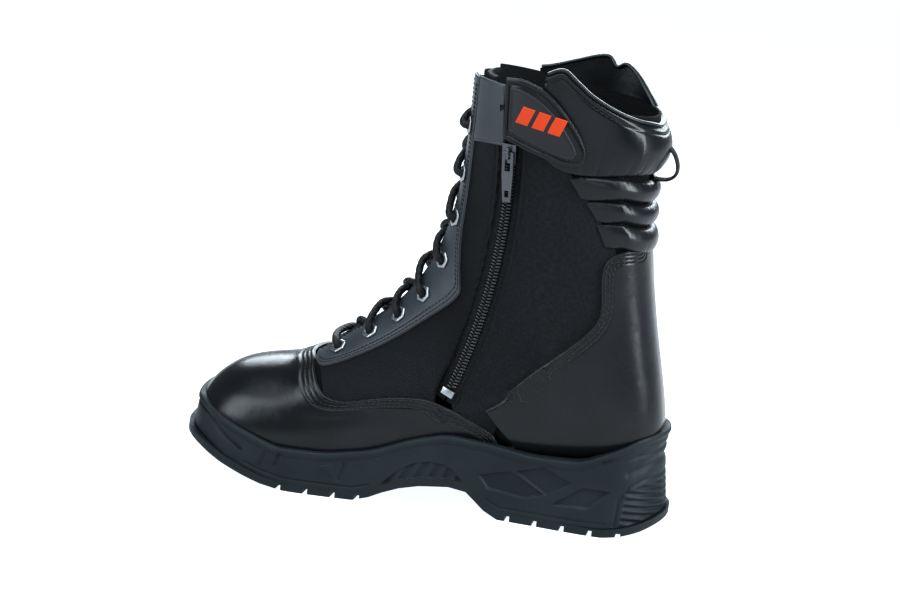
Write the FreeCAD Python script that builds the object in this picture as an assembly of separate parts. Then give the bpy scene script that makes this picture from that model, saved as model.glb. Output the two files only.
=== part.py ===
import FreeCAD
import Part
import math
import os

# Right-foot lace-up fire boot with a zip on its inner side, in millimetres.
# +X points to the toe, +Y to the inner (medial) side, +Z up; the ground is z = 0.
# Every soft layer follows one last surface; a place on it is a station number
# (0 at the toe tip, rising over the instep and up the leg) and a girth angle
# (0 at the front, 90 at the inner side, 180 at the back or sole).

V = FreeCAD.Vector
os.makedirs("parts", exist_ok=True)

# ---------------------------------------------------------------- layers, mm off the last surface
LEATHER = (0.15, 1.95)
CLOTH = (-1.25, -0.05)
STIFFENER = (-2.0, -1.35)
TAPE = (-2.0, -1.4)
LINING = (-3.6, -2.1)
TONGUE = (-8.4, -4.8)
FOOTBED = (-8.4, -4.0)
SHANK = (2.3, 3.8)
LOOP_PAD = (1.5, 2.3)
HOOK_PAD = (2.7, 3.5)
FLAP = (3.6, 5.4)
BADGE = (5.5, 6.3)

# ---------------------------------------------------------------- driving sizes
SOLE_WALL = 4.5
LACE_RADIUS = 1.85
EYELET_BORE = 2.65
EYELET_BARREL = 3.15
EYELET_HEX = 5.7
PULLER_LENGTH = 30.0
ZIP_GAP = 7.5

# The last is drawn level, then turned toe-down on to the sole about a line under the heel.
PITCH = 3.6
PIVOT_X = -100.0
SEAT_LIFT = 2.8
SEAT_SHIFT = -2.1

# station: front x, front z, back x, back z, half width, centre y, widest place, back power, front power
LAST = (
    (146, 47, 146, 45, 0, 4, 0.50, 2.0, 2.0),
    (146, 54, 146, 42, 16, 4, 0.25, 2.4, 2.0),
    (142, 63, 142, 42, 31, 4, 0.14, 3.0, 2.1),
    (128, 74, 129, 37, 42, 3, 0.12, 3.5, 2.2),
    (108, 78, 108, 28, 49, 1, 0.15, 4.0, 2.2),
    (86, 80, 82, 21, 51, 0, 0.23, 4.0, 2.2),
    (66, 92, 52, 18.5, 50, -2, 0.27, 4.0, 2.1),
    (46, 105, 18, 24, 46, -4, 0.29, 4.0, 2.0),
    (30, 117, -20, 33, 41, -5, 0.34, 4.0, 2.0),
    (16, 131, -62, 36, 38, -4, 0.38, 3.8, 2.1),
    (5, 146, -106, 34, 37, -2, 0.42, 3.4, 2.2),
    (-3, 160, -147, 37, 37, -1, 0.46, 3.0, 2.3),
    (-9, 174, -146, 70, 36, 0, 0.50, 2.6, 2.4),
    (-14, 188, -140, 104, 36, 0, 0.50, 2.4, 2.5),
    (-17, 203, -135, 135, 37.5, 0, 0.50, 2.4, 2.5),
    (-19.5, 220, -132, 165, 40, 0, 0.50, 2.4, 2.5),
    (-21.5, 237, -130, 195, 42, 0, 0.50, 2.4, 2.5),
    (-23, 254, -132, 222, 43.5, 0, 0.50, 2.4, 2.5),
    (-24, 271, -136, 248, 44.5, 0, 0.50, 2.4, 2.5),
    (-25, 290, -138, 276, 45, 0, 0.50, 2.4, 2.5),
)
LAST_END = len(LAST) - 1


# ---------------------------------------------------------------- the last surface
def seated(x, z):
    """A side-view point of the level last, where it comes when the last sits on its sole."""
    c = math.cos(math.radians(PITCH))
    d = math.sin(math.radians(PITCH))
    return (PIVOT_X + SEAT_SHIFT + (x - PIVOT_X) * c + z * d,
            SEAT_LIFT + z * c - (x - PIVOT_X) * d)


SEATED = [seated(r[0], r[1]) + seated(r[2], r[3]) + r[4:] for r in LAST]


def last_row(k):
    """Seated row k; one row before the first and after the last is extrapolated."""
    if k < 0:
        return [2 * a - b for a, b in zip(SEATED[0], SEATED[1])]
    if k > LAST_END:
        return [2 * a - b for a, b in zip(SEATED[-1], SEATED[-2])]
    return SEATED[k]


def station(s):
    """The nine section values at station s: a uniform cubic B-spline of the rows."""
    s = min(max(s, 0.0), float(LAST_END))
    i = min(int(s), LAST_END - 1)
    t = s - i
    weights = (
        (1 - t) ** 3 / 6,
        (3 * t**3 - 6 * t**2 + 4) / 6,
        (-3 * t**3 + 3 * t**2 + 3 * t + 1) / 6,
        t**3 / 6,
    )
    rows = [last_row(i + k) for k in (-1, 0, 1, 2)]
    return [sum(w * r[c] for w, r in zip(weights, rows)) for c in range(9)]


def on_last(s, a):
    """The point at station s and girth angle a (degrees): a two-power superellipse section."""
    fx, fz, bx, bz, w, yc, m, nb, nf = station(s)
    c = math.cos(math.radians(a))
    d = math.sin(math.radians(a))
    n = nf if c >= 0 else nb
    u = math.copysign(abs(c) ** (2 / n), c)
    v = math.copysign(abs(d) ** (2 / n), d)
    f = m + (1 - m) * u if u >= 0 else m + m * u
    return V(bx + (fx - bx) * f, yc + w * v, bz + (fz - bz) * f)


def normal(s, a):
    """The outward unit normal, from small differences along both directions."""
    ds = on_last(s + 0.004, a) - on_last(s - 0.004, a)
    da = on_last(s, a + 0.4) - on_last(s, a - 0.4)
    n = da.cross(ds)
    return n.normalize()


def place(s, a, out=0.0):
    """The point on the last pushed outwards by out millimetres."""
    return on_last(s, a) + normal(s, a) * out


def locate(x, z, side=1):
    """Station and girth angle of the side-view point (x, z) on the given side."""
    low, high = 0.0, float(LAST_END)
    for _ in range(40):
        s = (low + high) / 2
        fx, fz, bx, bz = station(s)[:4]
        if (fx - bx) * (z - bz) < (fz - bz) * (x - bx):
            high = s
        else:
            low = s
    fx, fz, bx, bz, w, yc, m, nb, nf = station(s)
    f = ((x - bx) * (fx - bx) + (z - bz) * (fz - bz)) / ((fx - bx) ** 2 + (fz - bz) ** 2)
    f = min(max(f, 0.0), 1.0)
    if f >= m:
        a = math.degrees(math.acos(((f - m) / (1 - m)) ** (nf / 2)))
    else:
        a = 180 - math.degrees(math.acos(((m - f) / m) ** (nb / 2)))
    return s, a * side


# ---------------------------------------------------------------- curves in (station, angle)
def side_curve(points, side=1):
    """Side-view points of the level last as (station, angle) points on one side of the boot."""
    return [locate(*seated(x, z), side) for x, z in points]


def over_back(curve):
    """The lateral half of a curve written with angles over 180, so it can cross the back."""
    return [(s, a + 360 if a < 0 else a) for s, a in curve]


def other_side(curve):
    """The curve mirrored to the lateral side, crossing the back."""
    return [(s, 360 - a) for s, a in reversed(curve)]


def curve_at(curve, t):
    """The place at fraction t of a curve, by length in the (station, angle/12) plane."""
    lengths = [0.0]
    for (s0, a0), (s1, a1) in zip(curve, curve[1:]):
        lengths.append(lengths[-1] + math.hypot(s1 - s0, (a1 - a0) / 12))
    goal = t * lengths[-1]
    k = 0
    while k < len(curve) - 2 and lengths[k + 1] < goal:
        k += 1
    span = lengths[k + 1] - lengths[k]
    f = (goal - lengths[k]) / span
    before = curve[max(k - 1, 0)]
    after = curve[min(k + 2, len(curve) - 1)]
    result = []
    for c in (0, 1):
        p0, p1 = curve[k][c], curve[k + 1][c]
        m0 = (p1 - before[c]) / 2 if k > 0 else p1 - p0
        m1 = (after[c] - p0) / 2 if k < len(curve) - 2 else p1 - p0
        result.append(
            (2 * f**3 - 3 * f**2 + 1) * p0
            + (f**3 - 2 * f**2 + f) * m0
            + (3 * f**2 - 2 * f**3) * p1
            + (f**3 - f**2) * m1
        )
    return result


# ---------------------------------------------------------------- solids from grids
def spline(points):
    """A cubic curve through the points, with whole-number parameters."""
    curve = Part.BSplineCurve()
    curve.interpolate(Points=points, Parameters=[float(k) for k in range(len(points))])
    return curve


def spline_surface(poles, down, across):
    """The surface with these poles; its knots come from one curve down and one across."""
    surface = Part.BSplineSurface()
    surface.buildFromPolesMultsKnots(poles, down.getMultiplicities(), across.getMultiplicities(), down.getKnots(),
                                     across.getKnots(), False, False, down.Degree, across.Degree)
    return surface.toShape()


def grid_solid(outer_rows, inner_rows):
    """A closed solid between two grids of points with the same layout."""
    straight = spline([V(0, 0, 0), V(1, 0, 0)])
    grids = []
    for rows in (outer_rows, inner_rows):
        curves = [spline(row) for row in rows]
        columns = [spline(list(column)) for column in zip(*[c.getPoles() for c in curves])]
        grids.append([list(row) for row in zip(*[c.getPoles() for c in columns])])
        across, down = curves[0], columns[0]
    outer, inner = grids
    faces = [spline_surface(outer, down, across), spline_surface(inner, down, across)]
    for k in (0, -1):
        faces.append(spline_surface([outer[k], inner[k]], straight, across))
        edge = [[row[k] for row in outer], [row[k] for row in inner]]
        faces.append(spline_surface(edge, straight, down))
    shell = Part.makeShell(faces)
    shell.sewShape()
    solid = Part.makeSolid(shell)
    if solid.Volume < 0:
        solid.reverse()
    return solid


def panel(low, high, layer, along=24, across=12, puff=None):
    """A layer of material between two edge curves; puff(t, r) adds to its outer face."""
    outer_rows = []
    inner_rows = []
    for i in range(along + 1):
        t = i / along
        s0, a0 = curve_at(low, t)
        s1, a1 = curve_at(high, t)
        outer = []
        inner = []
        for j in range(across + 1):
            r = j / across
            s = s0 + (s1 - s0) * r
            a = a0 + (a1 - a0) * r
            extra = puff(t, r) if puff else 0.0
            outer.append(place(s, a, layer[1] + extra))
            inner.append(place(s, a, layer[0]))
        outer_rows.append(outer)
        inner_rows.append(inner)
    return grid_solid(outer_rows, inner_rows)


def save(name, shape):
    """Writes one node."""
    shape.exportStep("parts/" + name + ".step")
    print(name, round(shape.Volume / 1000, 2), "cm3", "valid" if shape.isValid() else "INVALID")


# ---------------------------------------------------------------- edge lines of the upper
# Side-view points of the seams, x and z on the level last.
VAMP_TOP = [(-52, 44), (-47, 52), (-39, 57), (-30, 61), (-19, 66), (-5, 70), (10, 70), (27, 68), (45, 65),
            (56, 66.5), (63, 72), (68, 79), (70.5, 84)]
HEEL_FRONT = [(-42, 60), (-58, 82), (-72, 95), (-88, 108), (-104, 123), (-109, 133), (-109, 158), (-112, 166)]
HEEL_TOP = [(-118, 168.6), (-128, 168.9)]
ZIP_TOP = (-52.5, 227)
ZIP_MIDDLE = (-43.5, 152)
ZIP_BOTTOM = (-19, 76)
RIM_MEDIAL = [(-48, 271), (-60, 270), (-72, 272), (-82, 275), (-90, 269), (-98, 262), (-107, 256), (-116, 251),
              (-125, 247), (-131, 245)]
RIM_LATERAL = [(-52, 269), (-60, 270), (-76, 274), (-88, 277), (-95, 277), (-100, 271), (-106, 273),
               (-113, 268), (-121, 258), (-128, 249)]

# (station, angle) of the throat: eyelets, the cloth's front edge and the eyestay's rear edge
EYELETS = [(6.45, 26), (7.45, 28), (8.5, 30), (9.6, 31), (11.0, 27), (12.7, 24), (14.4, 21), (16.1, 20)]
CLOTH_FRONT = [(5.9, 33), (7.5, 35), (9.6, 38), (11, 34), (12.7, 30), (14.4, 27), (16.1, 26), (18.2, 26)]
EYESTAY_REAR = [(5.74, 26), (6.0, 36), (6.6, 40), (7.8, 43), (9.2, 45), (10.7, 48), (11.05, 45), (11.5, 41),
                (12.8, 34), (14.75, 31), (16.1, 30), (17.9, 30)]
EYESTAY_FRONT = [(5.72, 14), (6.5, 14), (8, 15), (11, 14), (13, 12), (17.9, 11)]


# ---------------------------------------------------------------- sole unit
# Plan outline of the sole, from the toe round the inner side, the heel and the outer side.
SOLE_PLAN = [(154.9, 4), (153.9, 19), (149.4, 36), (139.9, 47.5), (125.9, 55), (107.9, 58.2), (74.9, 57.8),
             (44.9, 54), (14.9, 48.4), (-15.1, 43.8), (-50.1, 41.4), (-90.1, 41), (-118.1, 40),
             (-137.1, 34), (-148.1, 22), (-153.6, 10), (-155.1, -1), (-153.1, -14), (-147.1, -27),
             (-134.1, -38), (-112.1, -43), (-85.1, -45.2), (-50.1, -48.8), (-15.1, -52.7), (14.9, -56.2),
             (47.9, -58.5), (79.9, -58.4), (104.9, -56), (123.9, -51), (138.9, -42), (148.9, -29),
             (153.9, -12)]
# Side profiles on the level last: the top edge of the cup and the cavity floor, toe to heel.
CUP_TOP = [(160, 60), (148, 59), (137, 54), (121, 48), (107, 43), (85, 35), (53, 33.5), (24, 37), (2, 45),
           (-20, 50), (-50, 46), (-73, 41.5), (-102, 41), (-125, 49), (-143, 56), (-160, 58)]
CUP_FLOOR = [(160, 46), (146, 39.5), (131, 33), (108, 23.6), (82, 16.8), (52, 14.2), (18, 19.6), (-20, 27.2),
             (-62, 30.2), (-106, 30), (-160, 32)]
# The tread is drawn on the ground itself.
TREAD = [(164, 27), (154, 23), (144, 20.5), (136, 18), (119, 11), (103, 5.5), (92, 2.4), (78, 0.2),
         (72, 0), (34, 0), (24, 3), (16, 7), (6, 11), (-6, 14), (-24, 16), (-35, 14.5), (-40.5, 10),
         (-47, 4.5), (-56, 0), (-120, 0), (-130, 1.5), (-142, 4.5), (-152, 8), (-162, 12)]
SOLE_TAPER = (0.98, 0.96)
TREAD_DEPTH = 5.0
LUG_DEPTH = 4.0
LUG_GAP = 3.2
LUG_PLACES = [130, 114, 97, 80, 63, 46, 31, -62, -79, -96, -113, -130]


def closed_outline(points, z):
    """A smooth closed wire through plan points at height z."""
    curve = Part.BSplineCurve()
    curve.interpolate([V(x, y, z) for x, y in points], PeriodicFlag=True)
    return Part.Wire(curve.toShape())


def below(profile, lift=0.0):
    """A slab running across the boot under a side profile raised by lift."""
    curve = Part.BSplineCurve()
    curve.interpolate([V(x, -90, z + lift) for x, z in profile])
    first, last = profile[0], profile[-1]
    under = Part.makePolygon([V(last[0], -90, last[1] + lift), V(last[0], -90, -60), V(first[0], -90, -60),
                              V(first[0], -90, first[1] + lift)])
    wire = Part.Wire([curve.toShape()] + under.Edges)
    return Part.Face(wire).extrude(V(0, 180, 0))


def straight_below(profile, lift=0.0):
    """The same slab with straight runs between the profile points."""
    points = [V(x, -90, z + lift) for x, z in profile]
    points += [V(profile[-1][0], -90, -60), V(profile[0][0], -90, -60), points[0]]
    return Part.Face(Part.makePolygon(points)).extrude(V(0, 180, 0))


def with_seat(profile):
    """A side profile of the level last, turned with the last on to the sole."""
    return [seated(x, z) for x, z in profile]


def sole_unit():
    """The cushioned cup that the upper sits in, and the lugged rubber tread under it."""
    top_plan = [(x * SOLE_TAPER[0], y * SOLE_TAPER[1]) for x, y in SOLE_PLAN]
    block = Part.makeLoft([closed_outline(SOLE_PLAN, 20), closed_outline(top_plan, 80)], True, True)
    block = block.fuse(Part.Face(closed_outline(SOLE_PLAN, -20)).extrude(V(0, 0, 40)))
    inside = block.makeOffsetShape(-SOLE_WALL, 0.01, join=2)
    cup = block.common(below(with_seat(CUP_TOP))).cut(straight_below(TREAD, TREAD_DEPTH))
    cup = cup.cut(inside.cut(below(with_seat(CUP_FLOOR))))
    tread = block.common(straight_below(TREAD, TREAD_DEPTH - 0.02)).cut(straight_below(TREAD))
    for x in LUG_PLACES:
        tread = tread.cut(Part.makeBox(LUG_GAP, 160, LUG_DEPTH, V(x - LUG_GAP / 2, -80, -0.5)))
    tread = tread.cut(Part.makeBox(122, 5, LUG_DEPTH, V(22, -2.5, -0.5)))
    tread = tread.cut(Part.makeBox(78, 5, LUG_DEPTH, V(-131, -2.5, -0.5)))
    save("midsole_cup", cup)
    save("outsole_tread", tread)



# ---------------------------------------------------------------- the zip's exact arc
def circle_through(p0, p1, p2):
    """Centre and unit axis of the circle through three points."""
    a = p1 - p0
    b = p2 - p0
    n = a.cross(b)
    centre = p0 + (n.cross(a) * b.dot(b) + b.cross(n) * a.dot(a)) * (1 / (2 * n.dot(n)))
    return centre, n.normalize()


ZIP_POINTS = [on_last(*locate(*seated(x, z))) for x, z in (ZIP_TOP, ZIP_MIDDLE, ZIP_BOTTOM)]
ZIP_CENTRE, ZIP_AXIS = circle_through(*ZIP_POINTS)
ZIP_RADIUS = (ZIP_POINTS[0] - ZIP_CENTRE).Length
ZIP_SPAN = math.degrees((ZIP_POINTS[0] - ZIP_CENTRE).getAngle(ZIP_POINTS[2] - ZIP_CENTRE))


def zip_frame(angle):
    """Origin, upward tangent, outward normal and rearward width at an angle down the zip's arc."""
    turn = FreeCAD.Rotation(ZIP_AXIS, angle)
    top = ZIP_POINTS[0] - ZIP_CENTRE
    tangent = (top.cross(ZIP_AXIS)).normalize()
    outward = V(0.22, 0.97, -0.025)
    outward = (outward - tangent * outward.dot(tangent)).normalize()
    width = tangent.cross(outward)
    return ZIP_CENTRE + turn.multVec(top), turn.multVec(tangent), turn.multVec(outward), turn.multVec(width)


def zip_point(angle, w, n):
    """A point beside the zip: w mm to the rear and n mm outwards."""
    origin, tangent, outward, width = zip_frame(angle)
    return origin + width * w + outward * n


def zip_strip(w0, w1, n0, n1, start, end):
    """A strip of constant rectangular section swept along the zip's arc."""
    corners = [zip_point(start, w, n) for w, n in ((w0, n0), (w1, n0), (w1, n1), (w0, n1), (w0, n0))]
    face = Part.Face(Part.makePolygon(corners))
    return face.revolve(ZIP_CENTRE, ZIP_AXIS, end - start)


def zip_edge(w, start, end, steps=8):
    """The line beside the zip at distance w, as (station, angle) points from start to end angle."""
    curve = []
    for i in range(steps + 1):
        p = zip_point(start + (end - start) * i / steps, w, 0)
        curve.append(locate(p.x, p.z))
    return curve


# ---------------------------------------------------------------- leather and cloth of the foot
def mirrored(curve):
    """The same line on the outer side of the boot."""
    return [(s, -a) for s, a in curve]


def vamp():
    """The one-piece leather front, wrapping the toe and running back along both sides."""
    margin = [(9.0, 150), (7, 150), (4, 150), (2, 150), (1.2, 120), (0.9, 60), (0.8, 0)]
    inner_side = side_curve(VAMP_TOP)
    low = margin + mirrored(list(reversed(margin[:-1])))
    high = inner_side + [(5.5, 0)] + mirrored(list(reversed(inner_side)))
    save("vamp", panel(low, high, LEATHER, 64, 14))


def toe_cap():
    """A thin protective cap between the vamp and its lining."""
    low = [(0.9, 120), (0.9, 60), (0.9, 0), (0.9, -60), (0.9, -120)]
    high = [(3.7, 120), (3.7, 60), (3.7, 0), (3.7, -60), (3.7, -120)]
    save("toe_cap", panel(low, high, CLOTH, 36, 10))


def rectangle(s0, s1, a0, a1, layer, along=16, across=16):
    """A panel between two stations and two girth angles."""
    low = [(s0, a0), ((s0 + s1) / 2, a0), (s1, a0)]
    high = [(s0, a1), ((s0 + s1) / 2, a1), (s1, a1)]
    return panel(low, high, layer, along, across)


def insoles():
    """Insole board, steel shank and the removable footbed."""
    save("insole_board", rectangle(1.1, 11.0, 130, 230, CLOTH, 30, 16))
    save("shank", rectangle(6.6, 10.2, 177, 183, SHANK, 8, 2))
    save("footbed", rectangle(1.7, 10.9, 128, 232, FOOTBED, 30, 16))


def heel_parts():
    """The leather heel quarter that cups the heel, and the stiffener behind it."""
    low = [(9.15, 92)] + side_curve(HEEL_FRONT[1:] + HEEL_TOP)
    save("heel_quarter", panel(low, other_side(list(reversed(low))), LEATHER, 30, 44))
    save("heel_stiffener", rectangle(11.2, 13.8, 105, 255, STIFFENER, 12, 24))


def foot_linings():
    """Lining of the toe and of both sides of the forefoot."""
    save("toe_lining", rectangle(1.0, 4.85, -150, 150, LINING, 16, 40))
    front = [(4.95, 30), (5.9, 33), (7.0, 35), (8.1, 37)]
    margin = [(4.95, 150), (5.9, 150), (7.0, 150), (8.1, 150)]
    save("forefoot_lining_medial", panel(front, margin, LINING, 16, 20))
    save("forefoot_lining_lateral", panel(mirrored(front), mirrored(margin), LINING, 16, 20))


# ---------------------------------------------------------------- the leg
def cloth_panels():
    """Ribbed front panel, plain rear panel and the one outer-side panel, all woven nylon."""
    under_vamp = side_curve([(59, 68), (45, 59), (27, 61), (10, 63), (-3, 62), (-12, 62)])
    front_rear = under_vamp + zip_edge(-ZIP_GAP, ZIP_SPAN + 0.2, -1.6)
    throat = CLOTH_FRONT[:-2] + [(16.6, 26)]
    save("front_panel_medial", panel(throat, front_rear, CLOTH, 44, 16))
    heel_side = [(-47, 50), (-62, 77), (-90, 101), (-112, 124), (-116, 150), (-116, 172), (-108, 187), (-97, 206),
                 (-87, 218), (-74, 229), (-66, 236)]
    low = zip_edge(ZIP_GAP, ZIP_SPAN + 1.6, -1.6)
    save("rear_panel_medial", panel(low, side_curve(heel_side), CLOTH, 36, 20))
    outer_rear = [(59, 68), (45, 59), (27, 61), (0, 63), (-25, 59)] + heel_side[:-2] + [(-72, 234), (-54, 240)]
    save("quarter_lateral", panel(mirrored(throat), side_curve(outer_rear, -1), CLOTH, 50, 30))


def shaft_linings():
    """Lining of the leg in front of the zip, and round the back to the lacing on the outer side."""
    front = [(8.95, 37), (9.6, 38), (11, 34), (12.7, 30), (14.4, 27), (16.1, 26), (18.1, 26)]
    save("shaft_lining_front", panel(front, zip_edge(-9, ZIP_SPAN - 0.6, -6.2), LINING, 30, 10))
    low = zip_edge(9, ZIP_SPAN - 0.6, -6.0)
    high = [(s, 360 - a) for s, a in front]
    save("shaft_lining_rear", panel(low, high, LINING, 30, 60))


def rim_lines():
    """The top edge of the collar from the zip round the back to the outer side."""
    inner = side_curve(RIM_MEDIAL[2:])
    outer = over_back(side_curve(RIM_LATERAL, -1))
    return inner + [(inner[-1][0] - 0.05, 180)] + list(reversed(outer))


def collar():
    """The padded leather collar, its rim binding and the strap loop behind it."""
    inner = side_curve([(-63, 231), (-71, 226), (-80, 219.5), (-90, 216.5), (-105, 215.5), (-120, 215.5)])
    outer = side_curve([(-120, 215.5), (-105, 215.5), (-90, 216.5), (-80, 219.5), (-71, 226), (-53, 232)], -1)
    low = inner + [(16.75, 180)] + over_back(outer)

    def puff(t, r):
        """Stuffing: none under the flap and at the rim, full round the back."""
        side = min(max((t - 0.17) / 0.12, 0.0), 1.0) * min((1 - t) / 0.1, 1.0)
        return -0.6 + 6.5 * side * math.sin(math.pi * min(r * 1.05, 1.0)) ** 0.7

    body = panel(low, rim_lines(), LEATHER, 60, 14, puff)
    save("collar", body)
    binding_low = [(s + 0.03, a) for s, a in rim_lines()]
    binding_high = [(s + 0.16, a) for s, a in rim_lines()]
    save("rim_binding", panel(binding_low, binding_high, (-1.9, 1.8), 60, 3))
    return body


def achilles_rolls():
    """Three stuffed rolls that let the ankle bend, between the collar and the heel quarter."""
    levels = ((-89, 214.8, 201.3), (-99, 200.8, 188.0), (-106, 187.5, 174.6))
    for k, (x, top, bottom) in enumerate(levels):
        step = 6 if k < 2 else 4
        high = side_curve([(x + 1, top - 1), (x - 6, top), (-118, top)])
        low = side_curve([(x - step, bottom + 1), (x - step - 5, bottom), (-119, bottom)])
        middle_high = (high[-1][0] + 0.02, 180)
        middle_low = (low[-1][0] + 0.02, 180)
        high = high + [middle_high] + other_side(high)
        low = low + [middle_low] + other_side(low)

        def puff(t, r):
            """A round bulge, fading at both ends of the roll."""
            return 4.2 * math.sin(math.pi * r) ** 0.6 * min(1.0, 6 * t, 6 * (1 - t)) - 1.0

        save("achilles_roll_" + str(k + 1), panel(low, high, LEATHER, 40, 8, puff))


def pull_strap(collar_solid):
    """A webbing loop sewn to the back of the collar, wide enough for a fingertip."""
    outer = [(-135, 233), (-142, 233), (-150, 220), (-149, 212), (-137.5, 210)]
    inner = [(-137.5, 212), (-147.2, 213.4), (-148, 219.6), (-141.2, 231), (-135, 231)]
    corners = [V(x, -9, z) for x, z in with_seat(outer + inner + outer[:1])]
    band = Part.Face(Part.makePolygon(corners)).extrude(V(0, 18, 0)).cut(collar_solid)
    save("pull_strap", max(band.Solids, key=lambda solid: solid.Volume))


# ---------------------------------------------------------------- lacing
def eyelet_frame(s, a):
    """Origin on the last, unit normal and unit direction up the throat at an eyelet."""
    n = normal(s, a)
    up = on_last(s + 0.02, a) - on_last(s - 0.02, a)
    up = (up - n * up.dot(n)).normalize()
    return on_last(s, a), n, up


def eyelets(side):
    """Eight six-sided metal eyelets: a washer with a bore and a short barrel."""
    group = []
    for s, a in EYELETS:
        origin, n, up = eyelet_frame(s, a * side)
        across = n.cross(up)
        corners = []
        for k in range(6):
            turn = math.radians(60 * k)
            corners.append(origin + n * 2.2 + (up * math.cos(turn) + across * math.sin(turn)) * EYELET_HEX)
        washer = Part.Face(Part.makePolygon(corners + corners[:1])).extrude(n * 1.0)
        barrel = Part.makeCylinder(EYELET_BARREL, 2.1, origin + n * 0.2, n)
        bore = Part.makeCylinder(EYELET_BORE, 6.0, origin - n * 1.0, n)
        group.append(washer.fuse(barrel).cut(bore))
    return Part.makeCompound(group)


def eyestay(side):
    """The leather facing that carries the eyelets on one side of the throat."""
    low = [(s, a * side) for s, a in EYESTAY_FRONT]
    high = [(s, a * side) for s, a in EYESTAY_REAR]
    facing = panel(low, high, LEATHER, 48, 8)
    for s, a in EYELETS:
        origin, n, up = eyelet_frame(s, a * side)
        facing = facing.cut(Part.makeCylinder(EYELET_BARREL + 0.15, 8.0, origin - n * 3.0, n))
    return facing


LACE_TOP = 7.0
LACE_UNDER = -2.1
LACE_CROSSING = (0.7, 5.2)


def lace_half(side):
    """Half of the lace: down into the first eyelet, criss-cross up the throat, end tucked inside."""
    s, a = EYELETS[0]
    route = [(s, a * side, LACE_TOP), (s, a * side, LACE_UNDER)]
    for k in range(len(EYELETS) - 1):
        s0 = EYELETS[k][0]
        s1, a1 = EYELETS[k + 1]
        step = s1 - s0
        leave = LACE_UNDER if k == 0 else 4.9
        over = LACE_CROSSING[k % 2 if side > 0 else (k + 1) % 2]
        route.append((s0 + 0.22 * step, 10.5 * side, leave))
        route.append((s0 + 0.5 * step, 0.0, over))
        side = -side
        route.append((s0 + 0.8 * step, 10.5 * side, LACE_UNDER))
        route.append((s1, a1 * side, LACE_UNDER))
        route.append((s1, a1 * side, LACE_TOP))
    route.append((16.35, 10.5 * side, 4.9))
    route.append((16.55, 6 * side, 0.8))
    route.append((16.8, 6 * side, -2.2))
    route.append((17.1, 6 * side, -2.2))
    return route


def cord(points, radius):
    """A round cord of straight runs joined by tangent arcs."""
    edges = []
    start = points[0]
    for k in range(1, len(points) - 1):
        before = (points[k] - points[k - 1]).Length
        after = (points[k + 1] - points[k]).Length
        into = (points[k] - points[k - 1]).normalize()
        out = (points[k + 1] - points[k]).normalize()
        turn = into.getAngle(out)
        bend = 0.45 * min(before, after)
        first = points[k] - into * bend
        final = points[k] + out * bend
        centre_gap = bend / math.tan(turn / 2)
        centre = points[k] + (out - into).normalize() * (centre_gap / math.cos(turn / 2))
        middle = centre - (out - into).normalize() * centre_gap
        edges.append(Part.makeLine(start, first))
        edges.append(Part.Arc(first, middle, final).toShape())
        start = final
    edges.append(Part.makeLine(start, points[-1]))
    path = Part.Wire(edges)
    profile = Part.Wire(Part.makeCircle(radius, points[0], points[1] - points[0]))
    return path.makePipeShell([profile], True, False)


def lace():
    """The whole lace, from one tucked end across the bottom bar to the other, and its two tips."""
    bar = [(6.2, 0.0, 4.4)]
    route = list(reversed(lace_half(-1))) + bar + lace_half(1)
    points = [place(*spot) for spot in route]
    save("lace", cord(points, LACE_RADIUS))
    tips = []
    for end, inner in ((points[0], points[1]), (points[-1], points[-2])):
        away = (end - inner).normalize()
        tips.append(Part.makeCylinder(1.7, 12.0, end + away * 0.1, away))
    save("lace_tips", Part.makeCompound(tips))


def throat():
    """Tongue, eyestays, eyelets and the leather cuffs at the top of the front."""
    low = [(4.7, -42), (8, -42), (12, -42), (16, -42), (18.0, -40)]
    high = [(4.7, 42), (8, 42), (12, 42), (16, 42), (18.0, 40)]
    save("tongue", panel(low, high, TONGUE, 30, 12))
    for name, side in (("medial", 1), ("lateral", -1)):
        save("eyestay_" + name, eyestay(side))
        save("eyelets_" + name, eyelets(side))
        front = [(15.75, 33 * side), (17.0, 33 * side), (17.95, 33 * side)]
        rear = side_curve([(-48.5, 229.5), (-50, 250), (-50.3, 267)], -1)
        if side > 0:
            rear = zip_edge(-8, -0.4, -6.4)
        save("front_cuff_" + name, panel(front, rear, LEATHER, 12, 10))


# ---------------------------------------------------------------- zip hardware and flap
def zip_block(w0, w1, n0, n1, down0, down1):
    """A box in the slider's own directions: width, outward normal and down the zip."""
    origin, tangent, outward, width = zip_frame(0)
    box = Part.makeBox(w1 - w0, n1 - n0, down1 - down0, V(w0, n0, down0))
    down = tangent * -1
    matrix = FreeCAD.Matrix(width.x, outward.x, down.x, origin.x, width.y, outward.y, down.y, origin.y,
                            width.z, outward.z, down.z, origin.z, 0, 0, 0, 1)
    box.Placement = FreeCAD.Placement(matrix)
    return box


def zip_chain():
    """Tapes, coil chains, end stops and the guard behind the zip."""
    for name, side in (("front", -1), ("rear", 1)):
        save("zip_tape_" + name, zip_strip(0.5 * side, 5.1 * side, TAPE[0], TAPE[1], -4.4, ZIP_SPAN + 1.0))
        save("zip_coil_" + name, zip_strip(0.6 * side, 3.2 * side, -1.3, 1.1, -0.3, ZIP_SPAN - 0.4))
    top_stops = [zip_strip(0.8 * side, 3.2 * side, -1.3, 1.0, -1.8, -1.4) for side in (-1, 1)]
    bottom_stop = zip_strip(-4.2, 4.2, -1.3, 1.7, ZIP_SPAN - 0.3, ZIP_SPAN + 0.4)
    save("zip_stops", Part.makeCompound(top_stops + [bottom_stop]))
    low = zip_edge(-14, ZIP_SPAN - 1, -6)
    high = zip_edge(14, ZIP_SPAN - 1, -6)
    save("zip_guard", panel(low, high, (-6.9, -5.9), 24, 6))


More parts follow.
